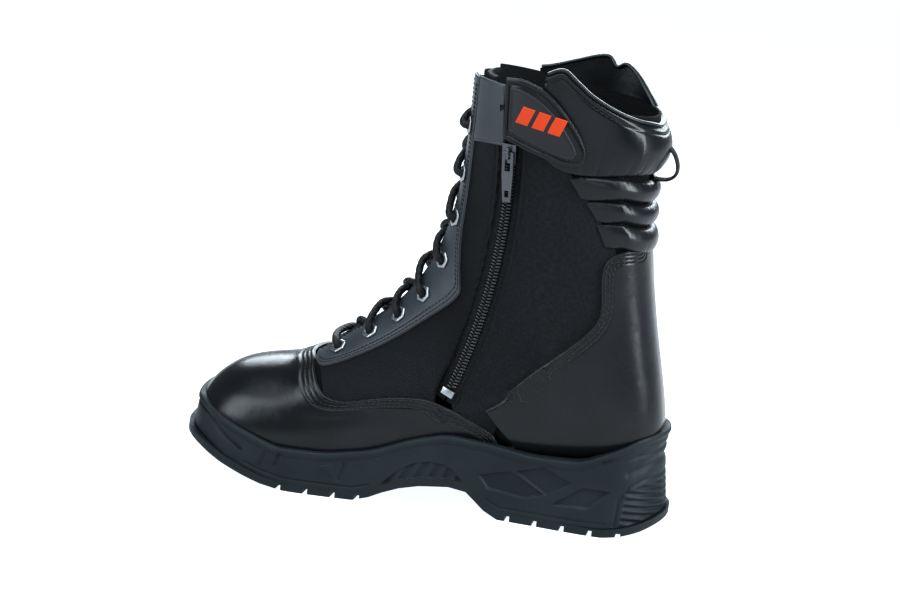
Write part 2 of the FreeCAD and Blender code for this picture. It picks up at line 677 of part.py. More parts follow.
def zip_slider():
    """Slider body: two plates joined by a wedge post, side flanges and a bridge for the puller."""
    body = zip_block(-4.3, 4.3, 1.5, 2.8, -5, 6.5)
    body = body.fuse(zip_block(-4.3, 4.3, -3.6, -2.5, -5, 6.5))
    body = body.fuse(zip_block(-0.3, 0.3, -2.5, 1.5, -5, -3.2))
    for side in (-1, 1):
        edges = sorted((3.6 * side, 4.3 * side))
        body = body.fuse(zip_block(edges[0], edges[1], -1.0, 1.5, -3, 6.5))
    body = body.fuse(zip_block(-0.9, 0.9, 2.8, 5.6, -3.4, -2.2))
    body = body.fuse(zip_block(-0.9, 0.9, 2.8, 5.6, 2.6, 3.8))
    body = body.fuse(zip_block(-0.9, 0.9, 4.7, 5.6, -3.4, 3.8))
    save("zip_slider", body.removeSplitter())


def zip_puller():
    """Puller: a ring round the slider's bridge, running into a tapered tab with a small window."""
    origin, tangent, outward, width = zip_frame(0)
    pin = Part.makeCylinder(0.7, 7.2, origin + outward * 3.7 - width * 3.6, width)
    ring = zip_block(-3.6, 3.6, 3.1, 4.3, 0, 13).cut(zip_block(-1.7, 1.7, 3, 4.4, -1, 11))
    corners = [(-3.6, 13), (3.6, 13), (2.6, PULLER_LENGTH), (-2.6, PULLER_LENGTH), (-3.6, 13)]
    points = [origin + width * w + outward * 3.1 - tangent * down for w, down in corners]
    tab = Part.Face(Part.makePolygon(points)).extrude(outward * 1.2)
    tab = tab.cut(zip_block(-1.3, 1.3, 3, 4.4, PULLER_LENGTH - 7, PULLER_LENGTH - 3))
    save("zip_puller", pin.fuse(ring).fuse(tab).removeSplitter())
    print("puller pin", origin + outward * 3.7, "axis", width * -1)


def flap():
    """Hook-and-loop flap over the top of the zip, its badge and its two pads."""
    top = side_curve([(-50.5, 270.5), (-60, 270), (-72, 265), (-82, 256), (-91, 244), (-96, 234), (-97, 228)])
    bottom = side_curve([(-50.2, 235), (-60, 230.5), (-70, 226.5), (-80, 223), (-88, 221), (-93, 221.5),
                         (-96.3, 224.5)])
    save("zip_flap", panel(bottom, top, FLAP, 24, 10))
    badge_top = side_curve([(-52.5, 267), (-60, 265.5), (-69, 261), (-80, 251.5), (-88, 240.5), (-92, 232),
                            (-92.6, 228.5)])
    badge_bottom = side_curve([(-52, 238), (-60, 234.5), (-70, 230), (-79, 226.5), (-86, 224.5), (-90, 224.5),
                               (-92, 226)])
    save("flap_badge", panel(badge_bottom, badge_top, BADGE, 20, 8))
    pad_top = side_curve([(-64, 262), (-74, 257), (-84, 247), (-90, 237)])
    pad_bottom = side_curve([(-64, 235), (-74, 231), (-83, 228), (-89, 228)])
    save("hook_pad", panel(pad_bottom, pad_top, HOOK_PAD, 12, 6))
    save("loop_pad", panel(pad_bottom, pad_top, LOOP_PAD, 12, 6))
    seam = [place(*locate(*seated(x, z)), 4.5) for x, z in ((-50.5, 270.5), (-50.2, 235))]
    print("flap seam", seam[0], "axis", (seam[1] - seam[0]).normalize())


sole_unit()
vamp()
toe_cap()
insoles()
heel_parts()
foot_linings()
cloth_panels()
shaft_linings()
padded_collar = collar()
achilles_rolls()
pull_strap(padded_collar)
throat()
lace()
zip_chain()
zip_slider()
zip_puller()
flap()
print("zip centre", ZIP_CENTRE, "axis", ZIP_AXIS, "span", ZIP_SPAN)
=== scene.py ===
# %% [markdown]
# # A side-zip fire boot
#
# A right boot of glossy leather, ribbed nylon and lugged rubber, about 310 mm long and 284 mm
# tall. Its inner side has a zip under a hook-and-loop flap, and its front is laced.
#
# The boot is modelled the way a bootmaker builds one: everything is laid on one curved form,
# called the last, in thin layers. The working frame comes first. It holds the engineering
# model of the boot, so every finished piece can be hung on the part that it belongs to.

# %% Load the frame
import math

import bpy
import numpy as np
from mathutils import Matrix, Vector


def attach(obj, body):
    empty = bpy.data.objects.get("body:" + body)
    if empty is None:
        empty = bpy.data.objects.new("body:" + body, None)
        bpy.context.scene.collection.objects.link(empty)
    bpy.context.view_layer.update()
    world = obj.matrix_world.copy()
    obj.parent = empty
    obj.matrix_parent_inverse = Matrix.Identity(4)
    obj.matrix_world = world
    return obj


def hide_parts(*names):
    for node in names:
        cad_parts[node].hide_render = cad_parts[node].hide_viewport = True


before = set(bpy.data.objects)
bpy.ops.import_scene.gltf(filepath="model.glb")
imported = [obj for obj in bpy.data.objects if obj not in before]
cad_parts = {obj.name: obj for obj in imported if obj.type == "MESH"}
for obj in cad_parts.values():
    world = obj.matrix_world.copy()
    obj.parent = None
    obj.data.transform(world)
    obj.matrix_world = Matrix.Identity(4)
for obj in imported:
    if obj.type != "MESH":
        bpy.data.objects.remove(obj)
bpy.context.view_layer.update()
MM = 0.001

# %% [markdown]
# ## The last
#
# A last is the solid foot that a boot is built round. Here it is a stack of sections from the
# toe, over the instep and up the leg. Each row gives the front and back ends of one section in
# side view, its half width, its centre line, where it is widest, and how square its back and
# front halves are. A smooth blend between rows gives a section at any height.
# A form like this could also be sculpted. A table keeps every layer an exact distance away.

# %% The last's table of sections, in millimetres
SECTIONS = np.array((
    (146, 47, 146, 45, 0, 4, 0.50, 2.0, 2.0),
    (146, 54, 146, 42, 16, 4, 0.25, 2.4, 2.0),
    (142, 63, 142, 42, 31, 4, 0.14, 3.0, 2.1),
    (128, 74, 129, 37, 42, 3, 0.12, 3.5, 2.2),
    (108, 78, 108, 28, 49, 1, 0.15, 4.0, 2.2),
    (86, 80, 82, 21, 51, 0, 0.23, 4.0, 2.2),
    (66, 92, 52, 18.5, 50, -2, 0.27, 4.0, 2.1),
    (46, 105, 18, 24, 46, -4, 0.29, 4.0, 2.0),
    (30, 117, -20, 33, 41, -5, 0.34, 4.0, 2.0),
    (16, 131, -62, 36, 38, -4, 0.38, 3.8, 2.1),
    (5, 146, -106, 34, 37, -2, 0.42, 3.4, 2.2),
    (-3, 160, -147, 37, 37, -1, 0.46, 3.0, 2.3),
    (-9, 174, -146, 70, 36, 0, 0.50, 2.6, 2.4),
    (-14, 188, -140, 104, 36, 0, 0.50, 2.4, 2.5),
    (-17, 203, -135, 135, 37.5, 0, 0.50, 2.4, 2.5),
    (-19.5, 220, -132, 165, 40, 0, 0.50, 2.4, 2.5),
    (-21.5, 237, -130, 195, 42, 0, 0.50, 2.4, 2.5),
    (-23, 254, -132, 222, 43.5, 0, 0.50, 2.4, 2.5),
    (-24, 271, -136, 248, 44.5, 0, 0.50, 2.4, 2.5),
    (-25, 290, -138, 276, 45, 0, 0.50, 2.4, 2.5),
))
TOE_DOWN = math.radians(3.6)
TOP_STATION = len(SECTIONS) - 1.0


def seated(x, z):
    """Turn a side-view point of the level last toe-down about the heel, then lift it on to the sole."""
    c, d = math.cos(TOE_DOWN), math.sin(TOE_DOWN)
    x, z = np.asarray(x, float), np.asarray(z, float)
    return -102.1 + (x + 100) * c + z * d, 2.8 + z * c - (x + 100) * d


rows = SECTIONS.copy()
rows[:, 0], rows[:, 1] = seated(SECTIONS[:, 0], SECTIONS[:, 1])
rows[:, 2], rows[:, 3] = seated(SECTIONS[:, 2], SECTIONS[:, 3])
ROWS = np.vstack([2 * rows[0] - rows[1], rows, 2 * rows[-1] - rows[-2]])
print("sections:", len(SECTIONS))

# %% [markdown]
# A place on the last has two coordinates: a station, which counts up the rows, and a girth
# angle, which is 0 at the front, 90 at the inner side and 180 at the back. Two more functions
# push a place outwards along the surface, and find the place behind a point in side view.

# %% Places on the last
def station(s):
    """Section values at station s: four neighbouring rows in the weights of a cubic B-spline."""
    s = np.clip(s, 0, TOP_STATION)
    i = np.minimum(s.astype(int), int(TOP_STATION) - 1)
    t = (s - i)[..., None]
    weights = ((1 - t) ** 3, 3 * t**3 - 6 * t**2 + 4, -3 * t**3 + 3 * t**2 + 3 * t + 1, t**3)
    return sum(w * ROWS[i + k] for k, w in enumerate(weights)) / 6


def on_last(s, a):
    """The surface: x and z run along the section's axis, y is half width times a rounded sine."""
    s, a = np.broadcast_arrays(np.asarray(s, float), np.asarray(a, float))
    fx, fz, bx, bz, w, yc, m, nb, nf = np.moveaxis(station(s), -1, 0)
    c, d = np.cos(np.radians(a)), np.sin(np.radians(a))
    n = np.where(c >= 0, nf, nb)
    u = np.sign(c) * np.abs(c) ** (2 / n)
    v = np.sign(d) * np.abs(d) ** (2 / n)
    f = np.where(u >= 0, m + (1 - m) * u, m + m * u)
    return np.stack([bx + (fx - bx) * f, yc + w * v, bz + (fz - bz) * f], -1)


def unit(v):
    """Each vector divided by its own length."""
    return v / np.maximum(np.linalg.norm(v, axis=-1, keepdims=True), 1e-9)


def place(s, a, out=0.0):
    """The surface point plus out millimetres of its normal, the cross product of two small steps."""
    along = on_last(s + 0.004, a) - on_last(s - 0.004, a)
    round_ = on_last(s, a + 0.4) - on_last(s, a - 0.4)
    return on_last(s, a) + unit(np.cross(round_, along)) * np.asarray(out)[..., None]


def locate(x, z, side=1):
    """Station by halving: a section line passes above or below (x, z). Angle from the arc cosine."""
    x, z = np.asarray(x, float), np.asarray(z, float)
    low, high = np.zeros_like(x), np.full_like(x, TOP_STATION)
    for _ in range(40):
        s = (low + high) / 2
        fx, fz, bx, bz = np.moveaxis(station(s)[..., :4], -1, 0)
        above = (fx - bx) * (z - bz) < (fz - bz) * (x - bx)
        low, high = np.where(above, low, s), np.where(above, s, high)
    fx, fz, bx, bz, w, yc, m, nb, nf = np.moveaxis(station(s), -1, 0)
    f = ((x - bx) * (fx - bx) + (z - bz) * (fz - bz)) / ((fx - bx) ** 2 + (fz - bz) ** 2)
    f = np.clip(f, 0, 1)
    front = np.degrees(np.arccos(np.clip((f - m) / (1 - m), 0, 1) ** (nf / 2)))
    back = 180 - np.degrees(np.arccos(np.clip((m - f) / m, 0, 1) ** (nb / 2)))
    return np.stack([s, np.where(f >= m, front, back) * side], -1)


def side_curve(points, side=1):
    """A smooth run through side-view points of the level last, as close (station, angle) places."""
    points = np.array(points, float) * (1, 12)
    x, z = (curve_at(points, np.linspace(0, 1, 10 * len(points) - 9)) / (1, 12)).T
    return locate(*seated(x, z), side)


print("toe tip:", on_last(0.0, 0.0).round(1), "top front:", on_last(19.0, 0.0).round(1))

# %% [markdown]
# ## Edge curves
#
# Every panel is the patch between two edge curves. A curve is a short list of places, and
# a smooth run through them is read at any fraction of its length. The same lines are used
# by neighbouring panels, so seams meet without gaps.

# %% Curves through places
def curve_at(curve, t):
    """Cubic Hermite run at fraction t of the length in the (station, angle/12) plane.

    The slope at a place is the step between its two neighbours over the length between them.
    """
    curve, t = np.asarray(curve, float), np.asarray(t, float)
    steps = np.hypot(np.diff(curve[:, 0]), np.diff(curve[:, 1]) / 12)
    lengths = np.concatenate([[0], np.cumsum(steps)])
    goal = np.clip(t, 0, 1) * lengths[-1]
    k = np.clip(np.searchsorted(lengths, goal, side="left") - 1, 0, len(curve) - 2)
    f = ((goal - lengths[k]) / steps[k])[..., None]
    p0, p1 = curve[k], curve[k + 1]
    back, ahead = np.maximum(k - 1, 0), np.minimum(k + 2, len(curve) - 1)
    m0 = (p1 - curve[back]) * (steps[k] / (lengths[k + 1] - lengths[back]))[..., None]
    m1 = (curve[ahead] - p0) * (steps[k] / (lengths[ahead] - lengths[k]))[..., None]
    return ((2 * f**3 - 3 * f**2 + 1) * p0 + (f**3 - 2 * f**2 + f) * m0
            + (3 * f**2 - 2 * f**3) * p1 + (f**3 - f**2) * m1)


def mirrored(curve):
    """The same line on the outer side: the angle changes sign."""
    return np.asarray(curve, float) * (1, -1)


def other_side(curve):
    """The line continued round the back: angle 360 minus itself, read backwards."""
    return (np.asarray(curve, float) * (1, -1) + (0, 360))[::-1]


VAMP_TOP = side_curve([(-52, 44), (-47, 52), (-39, 57), (-30, 61), (-19, 66), (-5, 70), (10, 70), (27, 68),
                       (45, 65), (56, 66.5), (63, 72), (68, 79), (70.5, 84)])
HEEL_FRONT = side_curve([(-58, 82), (-72, 95), (-88, 108), (-104, 123), (-109, 133), (-109, 158), (-112, 166),
                         (-118, 169.8), (-128, 170.6)])
THROAT = [(5.9, 33), (7.5, 35), (9.6, 38), (11, 34), (12.7, 30), (14.4, 27), (16.6, 26)]
EYELETS = np.array([(6.45, 26), (7.45, 28), (8.5, 30), (9.6, 31), (11.0, 27), (12.7, 24), (14.4, 21),
                    (16.1, 20)])
print("vamp seam points:", len(VAMP_TOP))

# %% [markdown]
# ## Turning points into meshes
#
# Big meshes are quickest to fill as whole arrays: all corner positions at once, then all
# quads. A grid of points becomes a skin by linking each point with its neighbours.

# %% Mesh helpers
def grid_quads(n, m, start=0, flip=False):
    """Quads of an n by m grid: corner (i, j) with its neighbours along both directions."""
    k = start + np.arange(n * m).reshape(n, m)
    quads = np.stack([k[:-1, :-1], k[:-1, 1:], k[1:, 1:], k[1:, :-1]], -1).reshape(-1, 4)
    return quads[:, ::-1] if flip else quads


def mesh_object(name, points, quads, uv=None, smooth=True):
    """An object whose mesh has these points (mm) and quads; uv is one pair for each point."""
    name = name.replace(" ", "_")
    mesh = bpy.data.meshes.new(name)
    mesh.vertices.add(len(points))
    mesh.vertices.foreach_set("co", (np.asarray(points) * MM).astype(np.float32).ravel())
    mesh.loops.add(quads.size)
    mesh.loops.foreach_set("vertex_index", quads.astype(np.int32).ravel())
    mesh.polygons.add(len(quads))
    mesh.polygons.foreach_set("loop_start", np.arange(0, quads.size, quads.shape[1], dtype=np.int32))
    mesh.update(calc_edges=True)
    mesh.polygons.foreach_set("use_smooth", np.full(len(quads), smooth))
    if uv is not None:
        layer = mesh.uv_layers.new(name="UVMap")
        layer.data.foreach_set("uv", np.asarray(uv, np.float32)[quads.ravel()].ravel())
    obj = bpy.data.objects.new(name, mesh)
    bpy.context.scene.collection.objects.link(obj)
    return obj


def points_of(mesh):
    """The mesh's points in metres, as one array."""
    co = np.empty(len(mesh.vertices) * 3)
    mesh.vertices.foreach_get("co", co)
    return co.reshape(-1, 3)


def outward(obj):
    """Turns the faces so that the closed mesh's signed volume is positive."""
    mesh = obj.data
    co = points_of(mesh)
    mesh.calc_loop_triangles()
    tri = np.empty(len(mesh.loop_triangles) * 3, np.int32)
    mesh.loop_triangles.foreach_get("vertices", tri)
    a, b, c = co[tri.reshape(-1, 3)].transpose(1, 0, 2)
    if np.einsum("ij,ij->i", a, np.cross(b, c)).sum() < 0:
        mesh.flip_normals()
    return obj


print("helpers ready")

# %% [markdown]
# ## Materials
#
# Each material is a stack of procedural textures over one physically based shader. Small bumps
# give leather its grain and cloth its threads. Bumps read either the object's own
# coordinates, or a UV map laid in tenths of a metre, so that ribs follow each panel.

# %% Material helpers
def new_material(name, color, roughness, metallic=0.0, **more):
    """A material with a Principled shader; more sets further sockets by name."""
    mat = bpy.data.materials.new(name)
    mat.use_nodes = True
    shader = mat.node_tree.nodes["Principled BSDF"]
    shader.inputs["Base Color"].default_value = (*color, 1)
    shader.inputs["Roughness"].default_value = roughness
    shader.inputs["Metallic"].default_value = metallic
    for socket, value in more.items():
        shader.inputs[socket.replace("_", " ")].default_value = value
    return mat


def coordinates(mat, kind="Object", stretch=(1, 1, 1), turn=0.0):
    """Texture coordinates through a mapping that stretches and turns them."""
    nodes, links = mat.node_tree.nodes, mat.node_tree.links
    source, mapping = nodes.new("ShaderNodeTexCoord"), nodes.new("ShaderNodeMapping")
    mapping.inputs["Scale"].default_value = stretch
    mapping.inputs["Rotation"].default_value = (0, 0, turn)
    links.new(source.outputs[kind], mapping.inputs["Vector"])
    return mapping.outputs["Vector"]


def noise(mat, vector, scale, detail=3.0, distortion=0.0):
    """A cloudy value from 0 to 1 at this scale."""
    node = mat.node_tree.nodes.new("ShaderNodeTexNoise")
    node.inputs["Scale"].default_value = scale
    node.inputs["Detail"].default_value = detail
    node.inputs["Distortion"].default_value = distortion
    mat.node_tree.links.new(vector, node.inputs["Vector"])
    return node.outputs["Fac"]


def cells(mat, vector, scale):
    """Distance to the nearest cell centre, for pebbled grain."""
    node = mat.node_tree.nodes.new("ShaderNodeTexVoronoi")
    node.inputs["Scale"].default_value = scale
    mat.node_tree.links.new(vector, node.inputs["Vector"])
    return node.outputs["Distance"]


def waves(mat, vector, scale, axis="X", distortion=0.0, bend=1.0):
    """Parallel sine ridges across one axis, a little wavy if distortion is above 0."""
    node = mat.node_tree.nodes.new("ShaderNodeTexWave")
    node.bands_direction = axis
    node.inputs["Scale"].default_value = scale
    node.inputs["Distortion"].default_value = distortion
    node.inputs["Detail Scale"].default_value = bend
    mat.node_tree.links.new(vector, node.inputs["Vector"])
    return node.outputs["Fac"]


def bump(mat, height, strength, distance):
    """Adds a bump on top of any bump the shader has already; distance is in metres."""
    nodes, links = mat.node_tree.nodes, mat.node_tree.links
    socket = nodes["Principled BSDF"].inputs["Normal"]
    node = nodes.new("ShaderNodeBump")
    node.inputs["Strength"].default_value = strength
    node.inputs["Distance"].default_value = distance
    if socket.links:
        links.new(socket.links[0].from_socket, node.inputs["Normal"])
    links.new(height, node.inputs["Height"])
    links.new(node.outputs["Normal"], socket)


def vary(mat, value, socket, low, high):
    """Drives a socket from low to high as value goes from 0.3 to 0.7."""
    node = mat.node_tree.nodes.new("ShaderNodeMapRange")
    for name, number in (("From Min", 0.3), ("From Max", 0.7), ("To Min", low), ("To Max", high)):
        node.inputs[name].default_value = number
    mat.node_tree.links.new(value, node.inputs["Value"])
    mat.node_tree.links.new(node.outputs["Result"], mat.node_tree.nodes["Principled BSDF"].inputs[socket])


def tint(mat, value, dark, light):
    """Blends the base colour between two colours by value."""
    node = mat.node_tree.nodes.new("ShaderNodeValToRGB")
    node.color_ramp.elements[0].position, node.color_ramp.elements[1].position = 0.35, 0.68
    node.color_ramp.elements[0].color, node.color_ramp.elements[1].color = (*dark, 1), (*light, 1)
    mat.node_tree.links.new(value, node.inputs["Fac"])
    mat.node_tree.links.new(node.outputs["Color"], mat.node_tree.nodes["Principled BSDF"].inputs["Base Color"])


print("material helpers ready")

# %% [markdown]
# The upper's leather is glossy: a smooth skin over faint pores. The facings at the front are the
# same hide with a satin finish, so the same recipe is used with a higher roughness, and with a
# lighter, bluer base colour that is a painted sheen of reflected light.

# %% Leathers
def leather(name, dark, light, smooth, rough, grain, shine):
    """Black hide: cloudy tone, roughness that wanders a little, pores and soft creases."""
    mat = new_material(name, dark, smooth, Specular_IOR_Level=shine)
    here = coordinates(mat)
    cloud = noise(mat, here, 26, 4)
    tint(mat, cloud, dark, light)
    vary(mat, noise(mat, here, 60, 5, 0.6), "Roughness", smooth, rough)
    bump(mat, noise(mat, here, 45, 3), 0.35, 0.0012)
    bump(mat, cells(mat, here, 1500), grain, 0.00016)
    bump(mat, noise(mat, here, 2600, 2), grain, 0.00012)
    return mat


LEATHER = leather("glossy leather", (0.006, 0.0075, 0.009), (0.010, 0.012, 0.014), 0.20, 0.28, 0.16, 0.34)
PADDED = leather("padded leather", (0.006, 0.0075, 0.009), (0.010, 0.012, 0.014), 0.24, 0.33, 0.22, 0.34)
# Painted sheen: the facing's light blue-grey base colours stand in for light reflected by black hide.
FACING = leather("satin leather with painted sheen", (0.026, 0.033, 0.040), (0.036, 0.044, 0.053), 0.36, 0.46, 0.35, 0.5)
THREAD = new_material("thread", (0.006, 0.007, 0.009), 0.42)
bump(THREAD, waves(THREAD, coordinates(THREAD), 900, "DIAGONAL"), 0.5, 0.0001)
print("leathers:", LEATHER.name, PADDED.name, FACING.name)

# %% [markdown]
# The nylons differ in their weave. The front panel has a raised rib about every millimetre,
# the rest a fine twill. UV coordinates keep the ribs level on a panel that curves.

# %% Cloths
RIBBED = new_material("ribbed nylon", (0.006, 0.007, 0.009), 0.5, Specular_IOR_Level=0.25)
vec = coordinates(RIBBED, "UV")
# Painted shade: the colour follows the rib wave, darker in the grooves between ribs and lighter on the ribs.
tint(RIBBED, waves(RIBBED, vec, 31, "Y", 1.6, 2.2), (0.004, 0.005, 0.007), (0.011, 0.013, 0.017))
bump(RIBBED, waves(RIBBED, vec, 31, "Y", 1.6, 2.2), 0.9, 0.0005)
bump(RIBBED, waves(RIBBED, vec, 120, "X", 0.6), 0.5, 0.00012)

TWILL = new_material("twill nylon", (0.007, 0.008, 0.010), 0.6, Specular_IOR_Level=0.22)
vec = coordinates(TWILL, "UV")
bump(TWILL, waves(TWILL, coordinates(TWILL, "UV", turn=0.9), 62, "X", 0.4), 0.8, 0.0002)
bump(TWILL, cells(TWILL, vec, 190), 0.6, 0.0003)
tint(TWILL, noise(TWILL, vec, 45, 4), (0.005, 0.006, 0.008), (0.011, 0.013, 0.016))

LINING = new_material("lining mesh", (0.005, 0.0055, 0.0065), 0.85, Specular_IOR_Level=0.2)
bump(LINING, cells(LINING, coordinates(LINING), 700), 0.6, 0.0004)
WEBBING = new_material("webbing", (0.008, 0.009, 0.011), 0.65, Specular_IOR_Level=0.25)
bump(WEBBING, waves(WEBBING, coordinates(WEBBING), 380, "DIAGONAL"), 0.8, 0.0004)
BOARD = new_material("insole board", (0.16, 0.11, 0.07), 0.85)
bump(BOARD, noise(BOARD, coordinates(BOARD), 900, 5), 0.4, 0.0003)
HOOKS = new_material("hook and loop", (0.009, 0.010, 0.012), 0.9)
bump(HOOKS, cells(HOOKS, coordinates(HOOKS), 1100), 1.0, 0.0006)
print("cloths:", RIBBED.name, TWILL.name, LINING.name, WEBBING.name, HOOKS.name)

# %% [markdown]
# Rubber, metal, moulded plastic and the printed mark come last. The rubber has a fine, even
# mould grain and a slightly green grey. The metals carry tiny scratches.

# %% Rubber, metals and plastics
RUBBER = new_material("sole rubber", (0.012, 0.019, 0.022), 0.55, Specular_IOR_Level=0.25)
here = coordinates(RUBBER)
tint(RUBBER, noise(RUBBER, here, 35, 5), (0.010, 0.016, 0.019), (0.015, 0.022, 0.026))
vary(RUBBER, noise(RUBBER, here, 120, 4), "Roughness", 0.46, 0.60)
bump(RUBBER, noise(RUBBER, here, 1700, 3), 0.35, 0.0002)
bump(RUBBER, noise(RUBBER, here, 60, 3), 0.2, 0.0008)


def metal(name, color, smooth, rough):
    """Metal with fine rubbed scratches that also roughen it."""
    mat = new_material(name, color, smooth, 1.0)
    here = coordinates(mat, stretch=(1, 1, 6))
    vary(mat, noise(mat, here, 900, 5), "Roughness", smooth, rough)
    bump(mat, noise(mat, here, 1400, 3), 0.25, 0.00005)
    return mat


STEEL = metal("bright steel", (0.34, 0.36, 0.38), 0.28, 0.42)
GUNMETAL = metal("gunmetal", (0.11, 0.115, 0.125), 0.26, 0.40)
COIL = new_material("coil plastic", (0.012, 0.013, 0.016), 0.3, Coat_Weight=0.2)
bump(COIL, noise(COIL, coordinates(COIL), 2500, 2), 0.2, 0.00005)
TIP = new_material("tip plastic", (0.006, 0.006, 0.007), 0.25)
bump(TIP, noise(TIP, coordinates(TIP), 1500, 2), 0.2, 0.00005)
CORD = new_material("lace cord", (0.007, 0.008, 0.010), 0.55, Specular_IOR_Level=0.3)
bump(CORD, noise(CORD, coordinates(CORD), 2200, 3), 0.5, 0.00015)
BADGE = new_material("badge rubber", (0.007, 0.009, 0.013), 0.5)
bump(BADGE, noise(BADGE, coordinates(BADGE), 1600, 3), 0.35, 0.00012)
ORANGE = new_material("orange print", (0.50, 0.055, 0.010), 0.5, Specular_IOR_Level=0.3)
bump(ORANGE, noise(ORANGE, coordinates(ORANGE), 1600, 3), 0.3, 0.0001)
print("materials:", len(bpy.data.materials))

# %% [markdown]
# ## Layers on the last
#
# A panel is a thin layer between two edge curves, with its edges rounded over like skived
# leather. Grid lines crowd together near an edge, where stitches and the rounding need them.
# Bending a flat sheet with modifiers would also work, but then neighbouring seams drift apart.

# %% The panel builder
EDGE = (0.0, 0.12, 0.35, 0.7, 1.2)
SEAM = EDGE + tuple(np.arange(1.7, 9.0, 0.5))


def spread(length, near, far, count):
    """Fractions of a length: marks in mm at both ends, and count even steps between them."""
    length = np.asarray(length, float)[..., None]
    first, last = np.asarray(near) / length, 1 - np.asarray(far)[::-1] / length
    middle = first[..., -1:] + (last[..., :1] - first[..., -1:]) * np.linspace(0, 1, count + 2)[1:-1]
    return np.concatenate([first, middle, last], -1)


def seams(low, high, t):
    """Ends of each crossing line in (station, angle), and that line's length in mm."""
    a, b = curve_at(low, t), curve_at(high, t)
    across = a[:, None] + (b - a)[:, None] * np.linspace(0, 1, 13)[:, None]
    return a, b, np.linalg.norm(np.diff(on_last(across[..., 0], across[..., 1]), axis=1), axis=-1).sum(1)


def run_length(low, high):
    """Length in mm of the line halfway between two edge curves."""
    t = np.linspace(0, 1, 80)
    mid = (curve_at(low, t) + curve_at(high, t)) / 2
    return np.linalg.norm(np.diff(on_last(mid[:, 0], mid[:, 1]), axis=0), axis=-1).sum()


def closed_skin(name, outer, inner, uv, material):
    """Two grids of points joined round their rim into one closed mesh."""
    n, m = outer.shape[:2]
    k = np.arange(n * m).reshape(n, m)
    rim = np.concatenate([k[0, :-1], k[:-1, -1], k[-1, :0:-1], k[:0:-1, 0]])
    ahead = np.roll(rim, -1)
    band = np.stack([rim, rim + n * m, ahead + n * m, ahead], -1)
    quads = np.vstack([grid_quads(n, m), grid_quads(n, m, n * m, True), band[:, ::-1]])
    points = np.vstack([outer.reshape(-1, 3), inner.reshape(-1, 3)])
    obj = mesh_object(name, points, quads, np.vstack([uv.reshape(-1, 2)] * 2))
    obj.data.materials.append(material)
    return outward(obj)


def panel(name, low, high, layer, along, across, material, near=EDGE, far=EDGE, puff=None, relief=None,
          edge=0.9, true_edges=False):
    """A layer whose outer offset is its top, rounded to nothing at the edges by a quarter circle.

    Distances to the edges run along each crossing line, or are the least ones with true_edges.
    """
    length = run_length(low, high)
    t = spread(length, EDGE, EDGE, along)
    a, b, width = seams(low, high, t)
    r = spread(width, near, far, across)
    where = a[:, None] + (b - a)[:, None] * r[..., None]
    d_low, d_high = r * width[:, None], (1 - r) * width[:, None]
    u = np.broadcast_to((t * length)[:, None], r.shape)
    d = np.minimum(np.minimum(d_low, d_high), np.minimum(u, length - u))
    rounded = np.sqrt(1 - (1 - np.clip(d / edge, 0, 1)) ** 2)
    if true_edges:
        flat = on_last(where[..., 0], where[..., 1])
        d_low, d_high = nearest(flat, edge_points(low)), nearest(flat, edge_points(high))
    out = layer[1] + (puff(t[:, None], r) if puff else 0) + (relief(u, d_low, d_high) if relief else 0)
    out = layer[0] + (out - layer[0]) * (0.1 + 0.9 * rounded)
    uv = np.stack([u, d_low], -1) / 100
    outer = place(where[..., 0], where[..., 1], out)
    inner = place(where[..., 0], where[..., 1], np.array(layer[0]))
    return closed_skin(name, outer, inner, uv, material)


def edge_points(edge, count=500):
    """A dense run of surface points along an edge curve."""
    at = curve_at(edge, np.linspace(0, 1, count))
    return on_last(at[:, 0], at[:, 1])


def nearest(points, line):
    """Least distance from each point to a line's points, by expanding the square of a difference."""
    flat = points.reshape(-1, 3)
    square = (flat**2).sum(-1)[:, None] + (line**2).sum(-1) - 2 * flat @ line.T
    return np.sqrt(np.maximum(square.min(1), 0)).reshape(points.shape[:-1])


def beside(edge, distance, out, start=0.0, end=1.0):
    """A line beside an edge: each place steps sideways, solved by least squares in (s, a)."""
    at = curve_at(edge, np.linspace(start, end, 500))
    s, a = at.T
    p = on_last(s, a)
    tangent = unit(np.gradient(p, axis=0))
    sideways = np.cross(unit(place(s, a, np.ones(len(s))) - p), tangent) * distance
    ps = (on_last(s + 0.01, a) - on_last(s - 0.01, a)) / 0.02
    pa = (on_last(s, a + 0.5) - on_last(s, a - 0.5))
    m = np.stack([ps, pa], -1)
    step = np.linalg.solve(m.transpose(0, 2, 1) @ m, m.transpose(0, 2, 1) @ sideways[..., None])[..., 0]
    s, a = s + step[:, 0], a + step[:, 1]
    points = place(s, a, np.full(len(s), out))
    return points, unit(points - on_last(s, a))


def grooves(distance, rows, depth=0.28, width=0.55):
    """Dents along stitch rows: a sum of bell curves centred on each row's distance from the seam."""
    return -depth * sum(np.exp(-((distance - row) / width) ** 2) for row in rows)


def wander(u, v, size, amount, seed):
    """Gentle hand-made unevenness: a few slanted sine waves of nearby lengths, added."""
    rng = np.random.default_rng(seed)
    total = 0
    for k in range(5):
        angle, phase = rng.uniform(0, math.pi), rng.uniform(0, 6.28)
        along = u * math.cos(angle) + v * math.sin(angle)
        total = total + np.sin(along / size * rng.uniform(0.6, 1.7) + phase)
    return amount * total / 5


print("panel builder ready")

# %% [markdown]
# A stitch is a short fat bead whose ends dive into the leather. One bead of a few dozen faces
# is copied along each seam by arrays, which stays light even for a thousand stitches.

